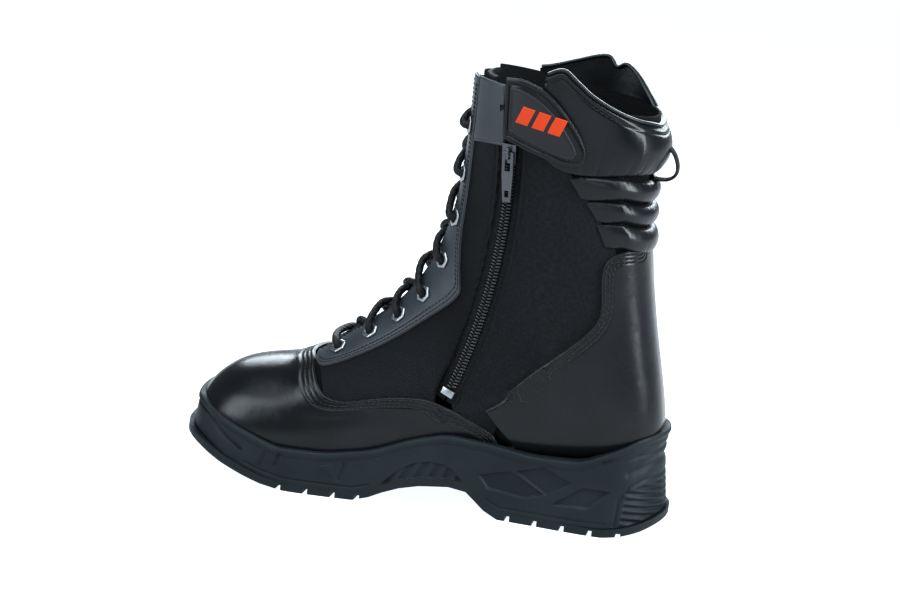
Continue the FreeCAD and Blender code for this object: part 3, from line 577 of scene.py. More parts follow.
# %% The stitch builder
def bead(length, radius, sides=6):
    """One stitch along x: rings of a rounded rod, its ends bent down, closed by two fans."""
    x = np.array([-0.5, -0.4, -0.15, 0.15, 0.4, 0.5]) * length
    size = np.array([0.45, 0.85, 1, 1, 0.85, 0.45]) * radius
    dip = -0.9 * radius * np.abs(2 * x / length) ** 4
    angle = np.arange(sides) * 2 * math.pi / sides
    ring = np.stack([np.zeros(sides), np.cos(angle), np.sin(angle)], -1)
    points = ring * size[:, None, None] + np.stack([x, x * 0, dip], -1)[:, None]
    points = np.vstack([points.reshape(-1, 3), [[x[0], 0, dip[0]], [x[-1], 0, dip[-1]]]])
    k = np.arange(len(x) * sides).reshape(len(x), sides)
    right = np.roll(k, -1, 1)
    a, b, c, d = k[:-1], right[:-1], right[1:], k[1:]
    walls = np.stack([a, b, c, a, c, d], -1).reshape(-1, 3)
    head, tail = np.full(sides, k.size), np.full(sides, k.size + 1)
    caps = np.vstack([np.stack([right[0], k[0], head], -1), np.stack([k[-1], right[-1], tail], -1)])
    return points, np.vstack([walls, caps])


def stitched(name, lines, material, pitch=3.3, length=2.75, radius=0.36):
    """Beads set along polylines; each line is (points, normals) and is walked at an even pitch."""
    shape, faces = bead(length, radius)
    groups = []
    for points, normals in lines:
        walk = np.concatenate([[0], np.cumsum(np.linalg.norm(np.diff(points, axis=0), axis=1))])
        at = np.arange(pitch / 2, walk[-1], pitch)
        read = lambda values, s: np.stack([np.interp(s, walk, values[:, c]) for c in range(3)], -1)
        tangent = unit(read(points, at + 0.4) - read(points, at - 0.4))
        side = unit(np.cross(read(normals, at), tangent))
        up = np.cross(tangent, side)
        body = (read(points, at)[:, None] + tangent[:, None] * shape[:, :1] + side[:, None] * shape[:, 1:2]
                + up[:, None] * shape[:, 2:])
        groups.append(body)
    beads = np.concatenate(groups)
    index = (np.arange(len(beads)) * len(shape))[:, None, None] + faces
    obj = mesh_object(name, beads.reshape(-1, 3), index.reshape(-1, 3))
    obj.data.materials.append(material)
    return outward(obj)


def seam_line(low, high, distance, out, far=False, start=0.01, end=0.99):
    """A line at a distance in mm from one edge of a panel, with its outward directions."""
    t = np.linspace(start, end, 500)
    a, b, width = seams(low, high, t)
    r = distance / width
    r = 1 - r if far else r
    where = a + (b - a) * r[:, None]
    points = place(where[:, 0], where[:, 1], np.full(len(t), out))
    return points, unit(points - on_last(where[:, 0], where[:, 1]))


print("one stitch:", len(bead(2.75, 0.36)[1]), "faces")

# %% [markdown]
# ## The foot: vamp and heel quarter
#
# The vamp is one piece of leather that wraps the toe and runs back along both sides. Its upper
# seam has three rows of stitches, pressed into shallow grooves. The heel quarter cups the
# heel and has the same triple seam down its front edge.

# %% Vamp and heel quarter
HIDE = (0.15, 1.95)
TRIPLE = (2.0, 4.3, 6.6)

margin = [(9.0, 150), (7, 150), (4, 150), (2, 150), (1.2, 120), (0.9, 60), (0.8, 0)]
vamp_low = np.array(margin + [tuple(p) for p in mirrored(margin[:-1])[::-1]], float)
vamp_high = np.vstack([VAMP_TOP, [(5.5, 0)], mirrored(VAMP_TOP)[::-1]])


def vamp_relief(u, d_low, d_high):
    """Stitch grooves, a raised bead along the seam, and slight unevenness of the hide."""
    ridge = 0.25 * np.exp(-((d_high - 8.4) / 0.8) ** 2)
    return grooves(d_high, TRIPLE) + ridge + wander(u, d_low, 16, 0.22, 3)


vamp = panel("vamp", vamp_low, vamp_high, HIDE, 430, 46, LEATHER, far=SEAM, relief=vamp_relief)
vamp_rows = [seam_line(vamp_low, vamp_high, d, 1.95, True) for d in TRIPLE]
vamp_stitches = stitched("vamp stitches", vamp_rows, THREAD)

heel_low = np.vstack([[(9.15, 92)], HEEL_FRONT])
heel_high = other_side(heel_low)[::-1]
heel = panel("heel quarter", heel_low, heel_high, HIDE, 270, 100, LEATHER, near=SEAM, far=SEAM, true_edges=True,
             relief=lambda u, d, e: grooves(np.minimum(d, e), TRIPLE) + wander(u, d, 18, 0.25, 8))
heel_rows = [beside(heel_low, -d, 1.95, 0.06, 0.97) for d in TRIPLE]
heel_rows += [beside(heel_high, d, 1.95, 0.06, 0.97) for d in TRIPLE]
heel_stitches = stitched("heel stitches", heel_rows, THREAD)
for piece, node, parts in ((vamp, "vamp", "black_leather"), (heel, "heel_quarter", "black_leather")):
    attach(piece, "boot")
    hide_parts(node)
for piece in (vamp_stitches, heel_stitches):
    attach(piece, "boot")
print("vamp faces:", len(vamp.data.polygons), "heel faces:", len(heel.data.polygons))

# %% [markdown]
# ## The leg: nylon panels and linings
#
# The zip's tapes lie between the front and the rear panel. Their edges run beside an exact
# arc, the same one that the slider turns about, so that the slider stays on its teeth.

# %% The zip's arc
ZIP_ENDS = ((-52.5, 227), (-43.5, 152), (-19, 76))
ZIP_TOP, ZIP_MIDDLE, ZIP_BOTTOM = (on_last(*locate(*seated(*p))) for p in ZIP_ENDS)


def circle_through(p0, p1, p2):
    """Centre and unit axis of the circle through three points, from the cross products of two chords."""
    a, b = p1 - p0, p2 - p0
    n = np.cross(a, b)
    centre = p0 + (np.cross(n, a) * b.dot(b) + np.cross(b, n) * a.dot(a)) / (2 * n.dot(n))
    return centre, unit(n)


ZIP_CENTRE, ZIP_AXIS = circle_through(ZIP_TOP, ZIP_MIDDLE, ZIP_BOTTOM)
ZIP_SPAN = math.degrees(math.acos(unit(ZIP_TOP - ZIP_CENTRE).dot(unit(ZIP_BOTTOM - ZIP_CENTRE))))
ZIP_RADIUS = np.linalg.norm(ZIP_TOP - ZIP_CENTRE)


def turned(v, angle):
    """A vector turned about the zip's axis by angles in degrees: Rodrigues' formula."""
    angle = np.radians(np.asarray(angle, float))[..., None]
    parallel = ZIP_AXIS * v.dot(ZIP_AXIS)
    return parallel + (v - parallel) * np.cos(angle) + np.cross(ZIP_AXIS, v) * np.sin(angle)


def zip_frame(angle):
    """Origin, upward tangent, outward normal and rearward width at angles down the zip's arc."""
    top = ZIP_TOP - ZIP_CENTRE
    tangent = unit(np.cross(top, ZIP_AXIS))
    outward_ = np.array([0.22, 0.97, -0.025])
    outward_ = unit(outward_ - tangent * outward_.dot(tangent))
    width = np.cross(tangent, outward_)
    origin = ZIP_CENTRE + turned(top, angle)
    return origin, turned(tangent, angle), turned(outward_, angle), turned(width, angle)


def zip_point(angle, w, n):
    """Points beside the zip: w mm to the rear and n mm outwards."""
    origin, tangent, out, width = zip_frame(angle)
    return origin + width * np.asarray(w, float)[..., None] + out * np.asarray(n, float)[..., None]


def zip_edge(w, start, end, steps=8):
    """The line beside the zip at distance w, as (station, angle) places."""
    p = zip_point(np.linspace(start, end, steps + 1), np.full(steps + 1, w), np.zeros(steps + 1))
    return locate(p[:, 0], p[:, 2])


print("zip radius", round(ZIP_RADIUS, 1), "mm, span", round(ZIP_SPAN, 2), "degrees")

# %% [markdown]
# Each cloth panel tucks under the leather round it. Where a panel meets the zip it is turned
# under, and one row of stitches holds the tape.

# %% Cloth panels
CLOTH = (-1.25, -0.05)
GAP = 7.5
under_vamp = side_curve([(59, 68), (45, 59), (27, 61), (10, 63), (-3, 62), (-12, 62)])
front_rear = np.vstack([under_vamp, zip_edge(-GAP, ZIP_SPAN + 0.2, -1.6)])
heel_side = [(-47, 50), (-62, 77), (-90, 101), (-112, 124), (-116, 150), (-116, 172), (-108, 187), (-97, 206),
             (-87, 218), (-74, 229), (-66, 236)]
rear_low, rear_high = zip_edge(GAP, ZIP_SPAN + 1.6, -1.6), side_curve(heel_side)
outer_rear = side_curve([(59, 68), (45, 59), (27, 61), (0, 63), (-25, 59)] + heel_side[:-2]
                        + [(-72, 234), (-54, 240)], -1)


def soft(seed, amount=0.3):
    """A relief of gentle waves for cloth."""
    return lambda u, d_low, d_high: wander(u, d_low, 14, amount, seed)


def zip_seam(u, d_low, d_high):
    """A turned edge beside the zip: a raised fold, then the dent of its stitch row."""
    fold = 0.35 * np.exp(-((d_high / 1.6) ** 2))
    return fold + grooves(d_high, (2.6,), 0.3, 0.5) + wander(u, d_low, 13, 0.2, 5)


def rear_seam(u, d_low, d_high):
    """The same fold on the rear panel, whose zip edge is its low one."""
    return zip_seam(u, d_high, d_low)


cloths = (
    ("front panel", THROAT, front_rear, RIBBED, zip_seam, "front_panel_medial", "ribbed_nylon", EDGE,
     SEAM[:12]),
    ("rear panel", rear_low, rear_high, TWILL, rear_seam, "rear_panel_medial", "nylon", SEAM[:12], EDGE),
    ("outer panel", mirrored(THROAT), outer_rear, TWILL, soft(7), "quarter_lateral", "nylon", EDGE, EDGE),
)
for name, low, high, cloth, relief, node, slot, near, far in cloths:
    piece = panel(name, low, high, CLOTH, 220, 60, cloth, near, far, relief=relief, edge=0.6)
    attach(piece, "boot")
    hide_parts(node)
rows = [seam_line(THROAT, front_rear, 2.6, 0.0, True, 0.42, 0.99), seam_line(rear_low, rear_high, 2.6, 0.0)]
tape_stitches = stitched("zip seam stitches", rows, THREAD, 2.6, 2.1, 0.26)
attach(tape_stitches, "boot")
print("cloth panels:", len(cloths))

# %% [markdown]
# ## Inside the boot
#
# Linings, insole board and footbed are plain layers. They only show from above, so they need
# few faces.

# %% Linings and footbed
LINER = (-3.6, -2.1)


def band(s0, s1, a0, a1):
    """Low and high edge of a patch between two stations and two girth angles."""
    stations = np.linspace(s0, s1, 3)
    return [(s, a0) for s in stations], [(s, a1) for s in stations]


inner_front = [(4.95, 30), (5.9, 33), (7.0, 35), (8.1, 37)]
inner_edge = [(4.95, 150), (5.9, 150), (7.0, 150), (8.1, 150)]
outer_front = mirrored(inner_front[:3] + [(8.85, 37)])
outer_edge = mirrored(inner_edge[:3] + [(8.85, 150)])
leg_front = [(8.95, 37), (9.6, 38), (11, 34), (12.7, 30), (14.4, 27), (16.1, 26), (18.1, 26)]
linings = (
    ("toe lining", *band(1.0, 4.85, -150, 150), LINER, LINING, "toe_lining", "lining_fabric"),
    ("inner side lining", inner_front, inner_edge, LINER, LINING, "forefoot_lining_medial", "lining_fabric"),
    ("outer side lining", outer_front, outer_edge, LINER, LINING, "forefoot_lining_lateral", "lining_fabric"),
    ("leg lining front", leg_front, zip_edge(-9, ZIP_SPAN - 0.6, -6.2), LINER, LINING, "shaft_lining_front",
     "lining_fabric"),
    ("leg lining back", zip_edge(9, ZIP_SPAN - 0.6, -6.0), other_side(leg_front)[::-1], LINER, LINING,
     "shaft_lining_rear", "lining_fabric"),
    ("zip guard", zip_edge(-14, ZIP_SPAN - 1, -6), zip_edge(14, ZIP_SPAN - 1, -6), (-6.9, -5.9), LINING,
     "zip_guard", "lining_fabric"),
    ("footbed", *band(1.7, 10.9, 128, 232), (-8.4, -4.0), LINING, "footbed", "lining_fabric"),
    ("insole board", *band(1.1, 11.0, 130, 230), (-1.25, -0.05), BOARD, "insole_board", "board"),
    ("toe cap", *band(0.9, 3.7, 120, -120), (-1.25, -0.05), BOARD, "toe_cap", "board"),
    ("heel stiffener", *band(11.2, 13.8, 105, 255), (-2.0, -1.35), BOARD, "heel_stiffener", "board"),
)
for name, low, high, layer, cloth, node, slot in linings:
    piece = panel(name, low, high, layer, 40, 40, cloth, EDGE[::2], EDGE[::2], edge=0.5)
    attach(piece, "boot")
    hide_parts(node)
print("inner layers:", len(linings))

# %% [markdown]
# ## Padded parts
#
# Foam swells the collar and the three rolls. Their fullness is a sine across each piece,
# fading at both ends. The small puckers where the thread pulls at the leather are worked out
# from waves too, strongest beside the seams, so no cloth simulation is needed.

# %% Collar and its rim
RIM_INNER = side_curve([(-72, 272), (-82, 275), (-90, 269), (-98, 262), (-107, 256), (-116, 251), (-125, 247),
                        (-131, 245)])
RIM_OUTER = side_curve([(-52, 269), (-60, 270), (-76, 274), (-88, 277), (-95, 277), (-100, 271), (-106, 273),
                        (-113, 268), (-121, 258), (-128, 249)], -1)


def across_back(inner, middle, outer):
    """One line from the inner side round the back to the outer side, through its middle station."""
    outer = np.where(outer[:, 1:] < 0, outer + (0, 360), outer)[::-1]
    return np.vstack([inner, [(middle, 180)], outer])


rim = across_back(RIM_INNER, RIM_INNER[-1, 0] - 0.05, RIM_OUTER)
collar_low = across_back(
    side_curve([(-63, 231), (-71, 226), (-80, 219.5), (-90, 216.5), (-105, 215.5), (-120, 215.5)]), 16.75,
    side_curve([(-120, 215.5), (-105, 215.5), (-90, 216.5), (-80, 219.5), (-71, 226), (-53, 232)], -1)[::-1])


def collar_puff(t, r):
    """Stuffing: none under the flap and at the rim, full round the back."""
    side = np.clip((t - 0.17) / 0.12, 0, 1) * np.minimum((1 - t) / 0.1, 1)
    return -0.6 + 6.5 * side * np.abs(np.sin(math.pi * np.minimum(r * 1.05, 1))) ** 0.7


def puckers(u, d, spacing, depth, reach, seed):
    """Gathers beside a seam: waves along it with uneven spacing, dying away with distance."""
    rng = np.random.default_rng(seed)
    shift = sum(rng.uniform(0.5, 1.5) * np.sin(u / rng.uniform(9, 23) + rng.uniform(0, 6)) for _ in range(4))
    return -depth * np.clip(np.sin(2 * math.pi * u / spacing + shift), 0, 1) ** 2 * np.exp(-d / reach)


def collar_relief(u, d_low, d_high):
    """A folded rim, its stitch row, a seam down the back, gathers at the lower seam, loose leather."""
    back = 0.62 * u.max()
    seam = -1.1 * np.exp(-((u - back) / 1.3) ** 2) * np.clip(d_high / 6, 0, 1)
    fold = 0.5 * np.exp(-((d_high - 1.6) / 1.2) ** 2) + grooves(d_high, (3.9,), 0.45, 0.7)
    return fold + seam + puckers(u, d_low, 8.5, 0.8, 5, 4) + wander(u, d_low, 9, 0.45, 12)


def swept(name, centre, side, up, r_side, r_up, sides, material, ripple=None):
    """A closed rod: an ellipse of sides points round every centre, with a fan at both ends."""
    angle = np.arange(sides) * 2 * math.pi / sides
    grow = 1 if ripple is None else ripple(np.arange(len(centre))[:, None], angle)[..., None]
    r_side, r_up = np.broadcast_to(r_side, len(centre)), np.broadcast_to(r_up, len(centre))
    ring = (side[:, None] * (np.cos(angle) * r_side[:, None])[..., None]
            + up[:, None] * (np.sin(angle) * r_up[:, None])[..., None]) * grow
    points = np.vstack([(centre[:, None] + ring).reshape(-1, 3), centre[:1], centre[-1:]])
    k = np.arange(len(centre) * sides).reshape(-1, sides)
    right = np.roll(k, -1, 1)
    a, b, c, d = k[:-1], right[:-1], right[1:], k[1:]
    walls = np.stack([a, b, c, a, c, d], -1).reshape(-1, 3)
    head, tail = np.full(sides, k.size), np.full(sides, k.size + 1)
    caps = np.vstack([np.stack([right[0], k[0], head], -1), np.stack([k[-1], right[-1], tail], -1)])
    obj = mesh_object(name, points, np.vstack([walls, caps]))
    obj.data.materials.append(material)
    return outward(obj)


collar = panel("collar", collar_low, rim, HIDE, 330, 66, PADDED, far=SEAM[:11], puff=collar_puff,
               relief=collar_relief, edge=1.6)
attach(collar, "boot")
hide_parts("collar")
t = np.linspace(0.004, 0.996, 360)
rim_at = curve_at(rim, t) + (0.045, 0)
centre = place(rim_at[:, 0], rim_at[:, 1], np.full(len(t), -0.8))
out = unit(place(rim_at[:, 0], rim_at[:, 1], np.full(len(t), 1.0)) - centre)
tangent = unit(np.gradient(centre, axis=0))
rim_edge = swept("rim binding", centre, out, np.cross(tangent, out), 2.5, 1.25, 14, PADDED)
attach(rim_edge, "boot")
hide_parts("rim_binding")
rows = [seam_line(collar_low, rim, 3.9, 1.4, True, 0.02, 0.98)]
collar_stitches = stitched("collar stitches", rows, THREAD)
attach(collar_stitches, "boot")
print("collar faces:", len(collar.data.polygons))

# %% [markdown]
# The three rolls under the collar let the ankle bend. Each is a bulging band round the back.

# %% Rolls
for k, (x, top, bottom) in enumerate(((-89, 214.8, 201.3), (-99, 200.8, 188.0), (-106, 187.5, 172.6))):
    step = 6 if k < 2 else 4
    high = side_curve([(x + 1, top - 1), (x - 6, top), (-118, top)])
    low = side_curve([(x - step, bottom + 1), (x - step - 5, bottom), (-119, bottom)])
    high = np.vstack([high, [(high[-1, 0] + 0.02, 180)], other_side(high)])
    low = np.vstack([low, [(low[-1, 0] + 0.02, 180)], other_side(low)])

    def roll_puff(t, r):
        """A round bulge, fading at both ends of the roll."""
        fade = np.minimum(1, np.minimum(6 * t, 6 * (1 - t)))
        return 4.2 * np.abs(np.sin(math.pi * r)) ** 0.6 * fade - 1.0

    def roll_relief(u, d_low, d_high, seed=k):
        """Gathers beside both seams of the roll."""
        near = puckers(u, d_low, 7.4, 0.32, 2.4, seed) + puckers(u, d_high, 6.6, 0.32, 2.4, seed + 5)
        return near + wander(u, d_low, 9, 0.2, seed)

    roll = panel("padded roll " + str(k + 1), low, high, HIDE, 240, 26, PADDED, puff=roll_puff,
                 relief=roll_relief, edge=1.4)
    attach(roll, "boot")
    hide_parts("achilles_roll_" + str(k + 1))
print("rolls:", k + 1)

# %% [markdown]
# ## The throat: tongue, facings and cuffs
#
# The facings are satin leather strips that carry the eyelets. A padded tongue lies under them.

# %% Tongue, facings and cuffs
EYESTAY_REAR = [(5.74, 26), (6.0, 36), (6.6, 40), (7.8, 43), (9.2, 45), (10.7, 48), (11.05, 45), (11.5, 41),
                (12.8, 34), (14.75, 31), (16.1, 30), (17.9, 30)]
EYESTAY_FRONT = [(5.72, 14), (6.5, 14), (8, 15), (11, 14), (13, 12), (17.9, 11)]
tongue = panel("tongue", [(4.7, -42), (8, -42), (12, -42), (16, -42), (18.0, -40)],
               [(4.7, 42), (8, 42), (12, 42), (16, 42), (18.0, 40)], (-8.4, -4.8), 110, 60, TWILL,
               relief=lambda u, d, e: wander(u, d, 12, 0.5, 20), edge=2.2)
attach(tongue, "boot")
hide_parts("tongue")


def facing_relief(u, d_low, d_high):
    """Two stitch rows along the rear edge and one along the throat."""
    rows = grooves(d_high, (1.9, 4.0), 0.22, 0.5) + grooves(d_low, (1.7,), 0.2, 0.5)
    return rows + wander(u, d_low, 15, 0.18, 9)


for name, side in (("medial", 1), ("lateral", -1)):
    low, high = np.array(EYESTAY_FRONT) * (1, side), np.array(EYESTAY_REAR) * (1, side)
    facing = panel("facing " + name, low, high, HIDE, 300, 40, FACING, SEAM[:8], SEAM[:13],
                   relief=facing_relief)
    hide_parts("eyestay_" + name)
    rows = [seam_line(low, high, d, 1.95, True, 0.02, 0.98) for d in (1.9, 4.0)]
    rows.append(seam_line(low, high, 1.7, 1.95))
    facing_stitches = stitched("facing stitches " + name, rows, THREAD, 2.7, 2.2, 0.28)
    front = np.array([(15.75, 33 * side), (17.0, 33 * side), (17.95, 33 * side)])
    rear = side_curve([(-48.5, 229.5), (-50, 250), (-50.3, 267)], -1)
    if side > 0:
        rear = zip_edge(-3.8, -0.4, -6.4)
    cuff = panel("front cuff " + name, front, rear, HIDE, 80, 30, FACING, SEAM[:8], SEAM[:8],
                 relief=lambda u, d, e: grooves(u, (2.2,), 0.2, 0.5) + wander(u, d, 12, 0.2, 6))
    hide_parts("front_cuff_" + name)
    for piece in (facing, cuff):
        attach(piece, "boot")
    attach(facing_stitches, "boot")
print("facings and cuffs ready")

# %% [markdown]
# ## Eyelets and lace
#
# Each eyelet is a six-sided washer with a rounded bore. Its section is turned round the bore
# while the outer radius follows a hexagon. The lace runs down into one eyelet, under the
# facing, and across to the next, as a braided cord.

# %% Eyelets
def hex_ring(sides=48):
    """One eyelet on the z axis: section rows of (share from bore to hexagon, height)."""
    angle = np.arange(sides) * 2 * math.pi / sides
    corner = 5.7 * math.cos(math.pi / 6) / np.cos((angle % (math.pi / 3)) - math.pi / 6)
    corner = np.minimum(corner, 5.55)
    section = ((0.0, 0.3), (0.0, 2.4), (0.03, 2.9), (0.12, 3.2), (0.3, 3.3), (0.7, 3.15), (0.9, 2.95),
               (0.98, 2.7), (1.0, 2.4), (0.98, 2.2), (0.2, 2.15), (0.18, 0.3))
    share, height = np.array(section).T
    radius = 2.65 + (corner - 2.65) * share[:, None]
    level = np.broadcast_to(height[:, None], radius.shape)
    points = np.stack([radius * np.cos(angle), radius * np.sin(angle), level], -1)
    k = np.arange(points.shape[0] * sides).reshape(-1, sides)
    up, right = np.roll(k, -1, 0), np.roll(k, -1, 1)
    return points.reshape(-1, 3), np.stack([k, right, np.roll(up, -1, 1), up], -1).reshape(-1, 4)


ring_points, ring_quads = hex_ring()
for name, side in (("medial", 1), ("lateral", -1)):
    s, a = EYELETS[:, 0], EYELETS[:, 1] * side
    origin = on_last(s, a)
    n = unit(place(s, a, np.ones(len(s))) - origin)
    up = on_last(s + 0.02, a) - on_last(s - 0.02, a)
    up = unit(up - n * (up * n).sum(-1, keepdims=True))
    frames = np.stack([up, np.cross(n, up), n], 1)
    points = origin[:, None] + ring_points @ frames
    index = (np.arange(len(s)) * len(ring_points))[:, None, None] + ring_quads
    rings = mesh_object("eyelets " + name, points.reshape(-1, 3), index.reshape(-1, 4))
    rings.data.materials.append(STEEL)
    outward(rings)
    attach(rings, "boot")
    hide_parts("eyelets_" + name)
print("eyelets:", 2 * len(EYELETS))

# %% [markdown]
# The lace's route is a list of places over and under the facings. A quadratic NURBS curve
# rounds it exactly as the engineering model does, and the cord is then swept along it.

# %% Lace
def lace_half(side):
    """Down into the first eyelet, criss-cross up the throat, the end tucked inside."""
    top, under = 7.0, -2.1
    crossing = (0.7, 5.2)
    s, a = EYELETS[0]
    route = [(s, a * side, top), (s, a * side, under)]
    for k in range(len(EYELETS) - 1):
        s0, (s1, a1) = EYELETS[k][0], EYELETS[k + 1]
        step = s1 - s0
        over = crossing[k % 2 if side > 0 else (k + 1) % 2]
        route.append((s0 + 0.22 * step, 10.5 * side, under if k == 0 else 4.9))
        route.append((s0 + 0.5 * step, 0.0, over))
        side = -side
        route.append((s0 + 0.8 * step, 10.5 * side, under))
        route.append((s1, a1 * side, under))
        route.append((s1, a1 * side, top))
    ends = ((16.35, 10.5, 4.9), (16.55, 6, 0.8), (16.8, 6, -2.2), (17.1, 6, -2.2))
    return route + [(s, a * side, out) for s, a, out in ends]


def along_nurbs(points, steps):
    """Points along a quadratic NURBS curve that starts and ends on its first and last control point."""
    data = bpy.data.curves.new("route", "CURVE")
    data.dimensions = "3D"
    spline = data.splines.new("NURBS")
    spline.points.add(len(points) - 1)
    spline.points.foreach_set("co", np.hstack([points * MM, np.ones((len(points), 1))]).ravel())
    spline.order_u = 3
    spline.use_endpoint_u = True
    spline.resolution_u = steps
    holder = bpy.data.objects.new("route", data)
    mesh = bpy.data.meshes.new_from_object(holder)
    co = points_of(mesh) / MM
    bpy.data.meshes.remove(mesh)
    bpy.data.objects.remove(holder)
    return co


def even(points, gap):
    """The same path with points an even gap apart."""
    walk = np.concatenate([[0], np.cumsum(np.linalg.norm(np.diff(points, axis=0), axis=1))])
    at = np.linspace(0, walk[-1], int(walk[-1] / gap) + 1)
    return np.stack([np.interp(at, walk, points[:, c]) for c in range(3)], -1)


def carried_frame(path):
    """A side vector carried along the path without twist, one short step after another."""
    tangent = unit(np.gradient(path, axis=0))
    side = [unit(np.cross(tangent[0], (0.3, 0.1, 1.0)))]
    for t in tangent[1:]:
        side.append(unit(side[-1] - t * side[-1].dot(t)))
    side = np.array(side)
    return side, np.cross(tangent, side)


def braid(ring, angle):
    """Radius of a braided cord: two families of strands winding opposite ways, one over the other."""
    one, two = np.sin(ring * 0.52 + 4 * angle), np.sin(ring * 0.52 - 4 * angle)
    return 0.94 + 0.085 * np.maximum(one, two)


route = np.array(lace_half(-1)[::-1] + [(6.2, 0.0, 4.4)] + lace_half(1), float)
control = place(route[:, 0], route[:, 1], route[:, 2])
path = even(along_nurbs(control, 10), 0.5)
side, up = carried_frame(path)
lace = swept("lace", path, side, up, 2.3, 2.3, 24, CORD, braid)
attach(lace, "boot")
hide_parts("lace")
print("lace length:", round(0.5 * (len(path) - 1)), "mm, faces:", len(lace.data.polygons))

# %% [markdown]
# ## The zip
#
# Every tooth of a coil zip is a loop of plastic wire, so each tooth is a short rounded rod
# lying across the chain. The two sides are offset by half a pitch and meet in the middle.
# The woven tapes behind them follow the same arc and run in under the panels.

# %% Teeth and tape stitches
TOOTH_PITCH = 2.05
pitch_angle = math.degrees(TOOTH_PITCH / ZIP_RADIUS)


def teeth(side):
    """Rods across the zip on one side, every pitch along the arc, half a pitch later at the rear."""
    angle = np.arange(-0.2 + (0.5 * pitch_angle if side > 0 else 0), ZIP_SPAN - 0.5, pitch_angle)
    shape, faces = bead(4.0, 0.80, 8)
    origin, tangent, out, width = zip_frame(angle)
    frames = np.stack([width * side, tangent, out], 1)
    tilt = shape * (1, 1, 1.3) + (1.45, 0, -0.1)
    tilt[:, 1] += 0.16 * (tilt[:, 0] - 1.5)
    points = origin[:, None] + tilt @ frames
    index = (np.arange(len(angle)) * len(shape))[:, None, None] + faces
    name = "zip coil rear" if side > 0 else "zip coil front"
    obj = mesh_object(name, points.reshape(-1, 3), index.reshape(-1, 3))
    obj.data.materials.append(COIL)
    return outward(obj)


for side, node in ((-1, "zip_coil_front"), (1, "zip_coil_rear")):
    coil = teeth(side)
    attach(coil, "boot")
    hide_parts(node)
for side, node in ((-1, "zip_tape_front"), (1, "zip_tape_rear")):
    angle, w = np.linspace(-4.4, ZIP_SPAN + 1.0, 160)[:, None], np.linspace(0.5, 7.8, 9) * side
    grid = angle + 0 * w
    across = w + 0 * grid
    front, back = (zip_point(grid, across, np.full(grid.shape, n)) for n in (-1.4, -2.0))
    uv = np.stack([np.radians(grid) * ZIP_RADIUS, across], -1) / 100
    tape = closed_skin("zip tape " + node[9:], front, back, uv, TWILL)
    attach(tape, "boot")
    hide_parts(node)
angle = np.linspace(-1, ZIP_SPAN - 0.4, 400)
rows = []
for w in (-5.0, -3.9, 3.9, 5.0):
    points = zip_point(angle, np.full(400, w), np.full(400, -1.38))
    rows.append((points, zip_frame(angle)[2]))
coil_stitches = stitched("coil stitches", rows, THREAD, 2.05, 1.6, 0.24)
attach(coil_stitches, "boot")
print("teeth on each side:", int(ZIP_SPAN / pitch_angle))

# %% [markdown]
# The slider, its puller, the stops, the lace tips, the shank and the hook and loop pads keep
# the engineering shapes. They get materials here, and the slider, puller and stops get softly broken
# edges from a bevel. The pull strap is a flat webbing band swept along a short loop.

# %% Hardware from the frame
def dress(node, material, round_edge=0.0):
    """Gives a CAD node its material, and a small bevel of round_edge mm where that is given."""
    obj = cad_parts[node]
    obj.data.materials.clear()
    obj.data.materials.append(material)
    obj.data.polygons.foreach_set("material_index", np.zeros(len(obj.data.polygons), np.int32))
    if round_edge:
        weld = obj.modifiers.new("join faces", "WELD")
        weld.merge_threshold = 0.00001
        bevel = obj.modifiers.new("broken edges", "BEVEL")
        bevel.width = round_edge * MM
        bevel.segments = 2
        bevel.limit_method = "ANGLE"
        bevel.angle_limit = math.radians(35)
        bevel.harden_normals = False
    return obj


for node in ("zip_slider", "zip_puller", "zip_stops"):
    dress(node, GUNMETAL if node != "zip_stops" else STEEL, 0.25)
dress("lace_tips", TIP)
dress("shank", STEEL)
dress("hook_pad", HOOKS)
dress("loop_pad", HOOKS)
x, z = seated(*np.array([(-130, 232), (-135, 233), (-140, 231), (-144, 226), (-146, 219.5), (-145.5, 214.5),
                         (-142.5, 211.5), (-138, 210.5), (-132, 211)], float).T)
loop = np.stack([x, 0 * x, z], -1)
path = even(along_nurbs(loop, 12), 0.8)
tangent = unit(np.gradient(path, axis=0))
across = np.tile([0.0, 1.0, 0.0], (len(path), 1))
strap = swept("pull strap", path, across, np.cross(tangent, across), 6.0, 1.0, 20, WEBBING)
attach(strap, "boot")
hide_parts("pull_strap")
print("dressed nodes ready")

# %% [markdown]
# ## The flap and its badge
#
# The flap swings on its stitched front edge. It has a rolled border, a row of stitches inside
# it, and a raised rubber badge with three slanted orange bars.

# %% Flap and badge
FLAP_TOP = side_curve([(-50.5, 270.5), (-60, 270), (-72, 265), (-82, 256), (-91, 244), (-96, 234), (-97, 228)])
FLAP_LOW = side_curve([(-50.2, 235), (-60, 230.5), (-70, 226.5), (-80, 223), (-88, 221), (-93, 221.5),
                       (-96.3, 224.5)])
flap_run = run_length(FLAP_LOW, FLAP_TOP)


def flap_relief(u, d_low, d_high):
    """A rolled border all round, then the dent of a stitch row; distance is to the nearest edge."""
    d = np.minimum(np.minimum(d_low, d_high), np.minimum(u, flap_run - u))
    roll = 0.75 * np.clip(1 - ((d - 1.5) / 1.6) ** 2, 0, 1) ** 0.5
    return roll + grooves(d, (3.9,), 0.35, 0.6) + wander(u, d_low, 10, 0.15, 2)


flap = panel("zip flap", FLAP_LOW, FLAP_TOP, (3.6, 5.1), 130, 90, PADDED, relief=flap_relief, edge=0.8)
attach(flap, "flap")
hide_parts("zip_flap")
rows = [seam_line(FLAP_LOW, FLAP_TOP, 3.9, 4.8, far, 0.08, 0.93) for far in (False, True)]
flap_stitches = stitched("flap stitches", rows, THREAD, 2.7, 2.2, 0.28)
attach(flap_stitches, "flap")

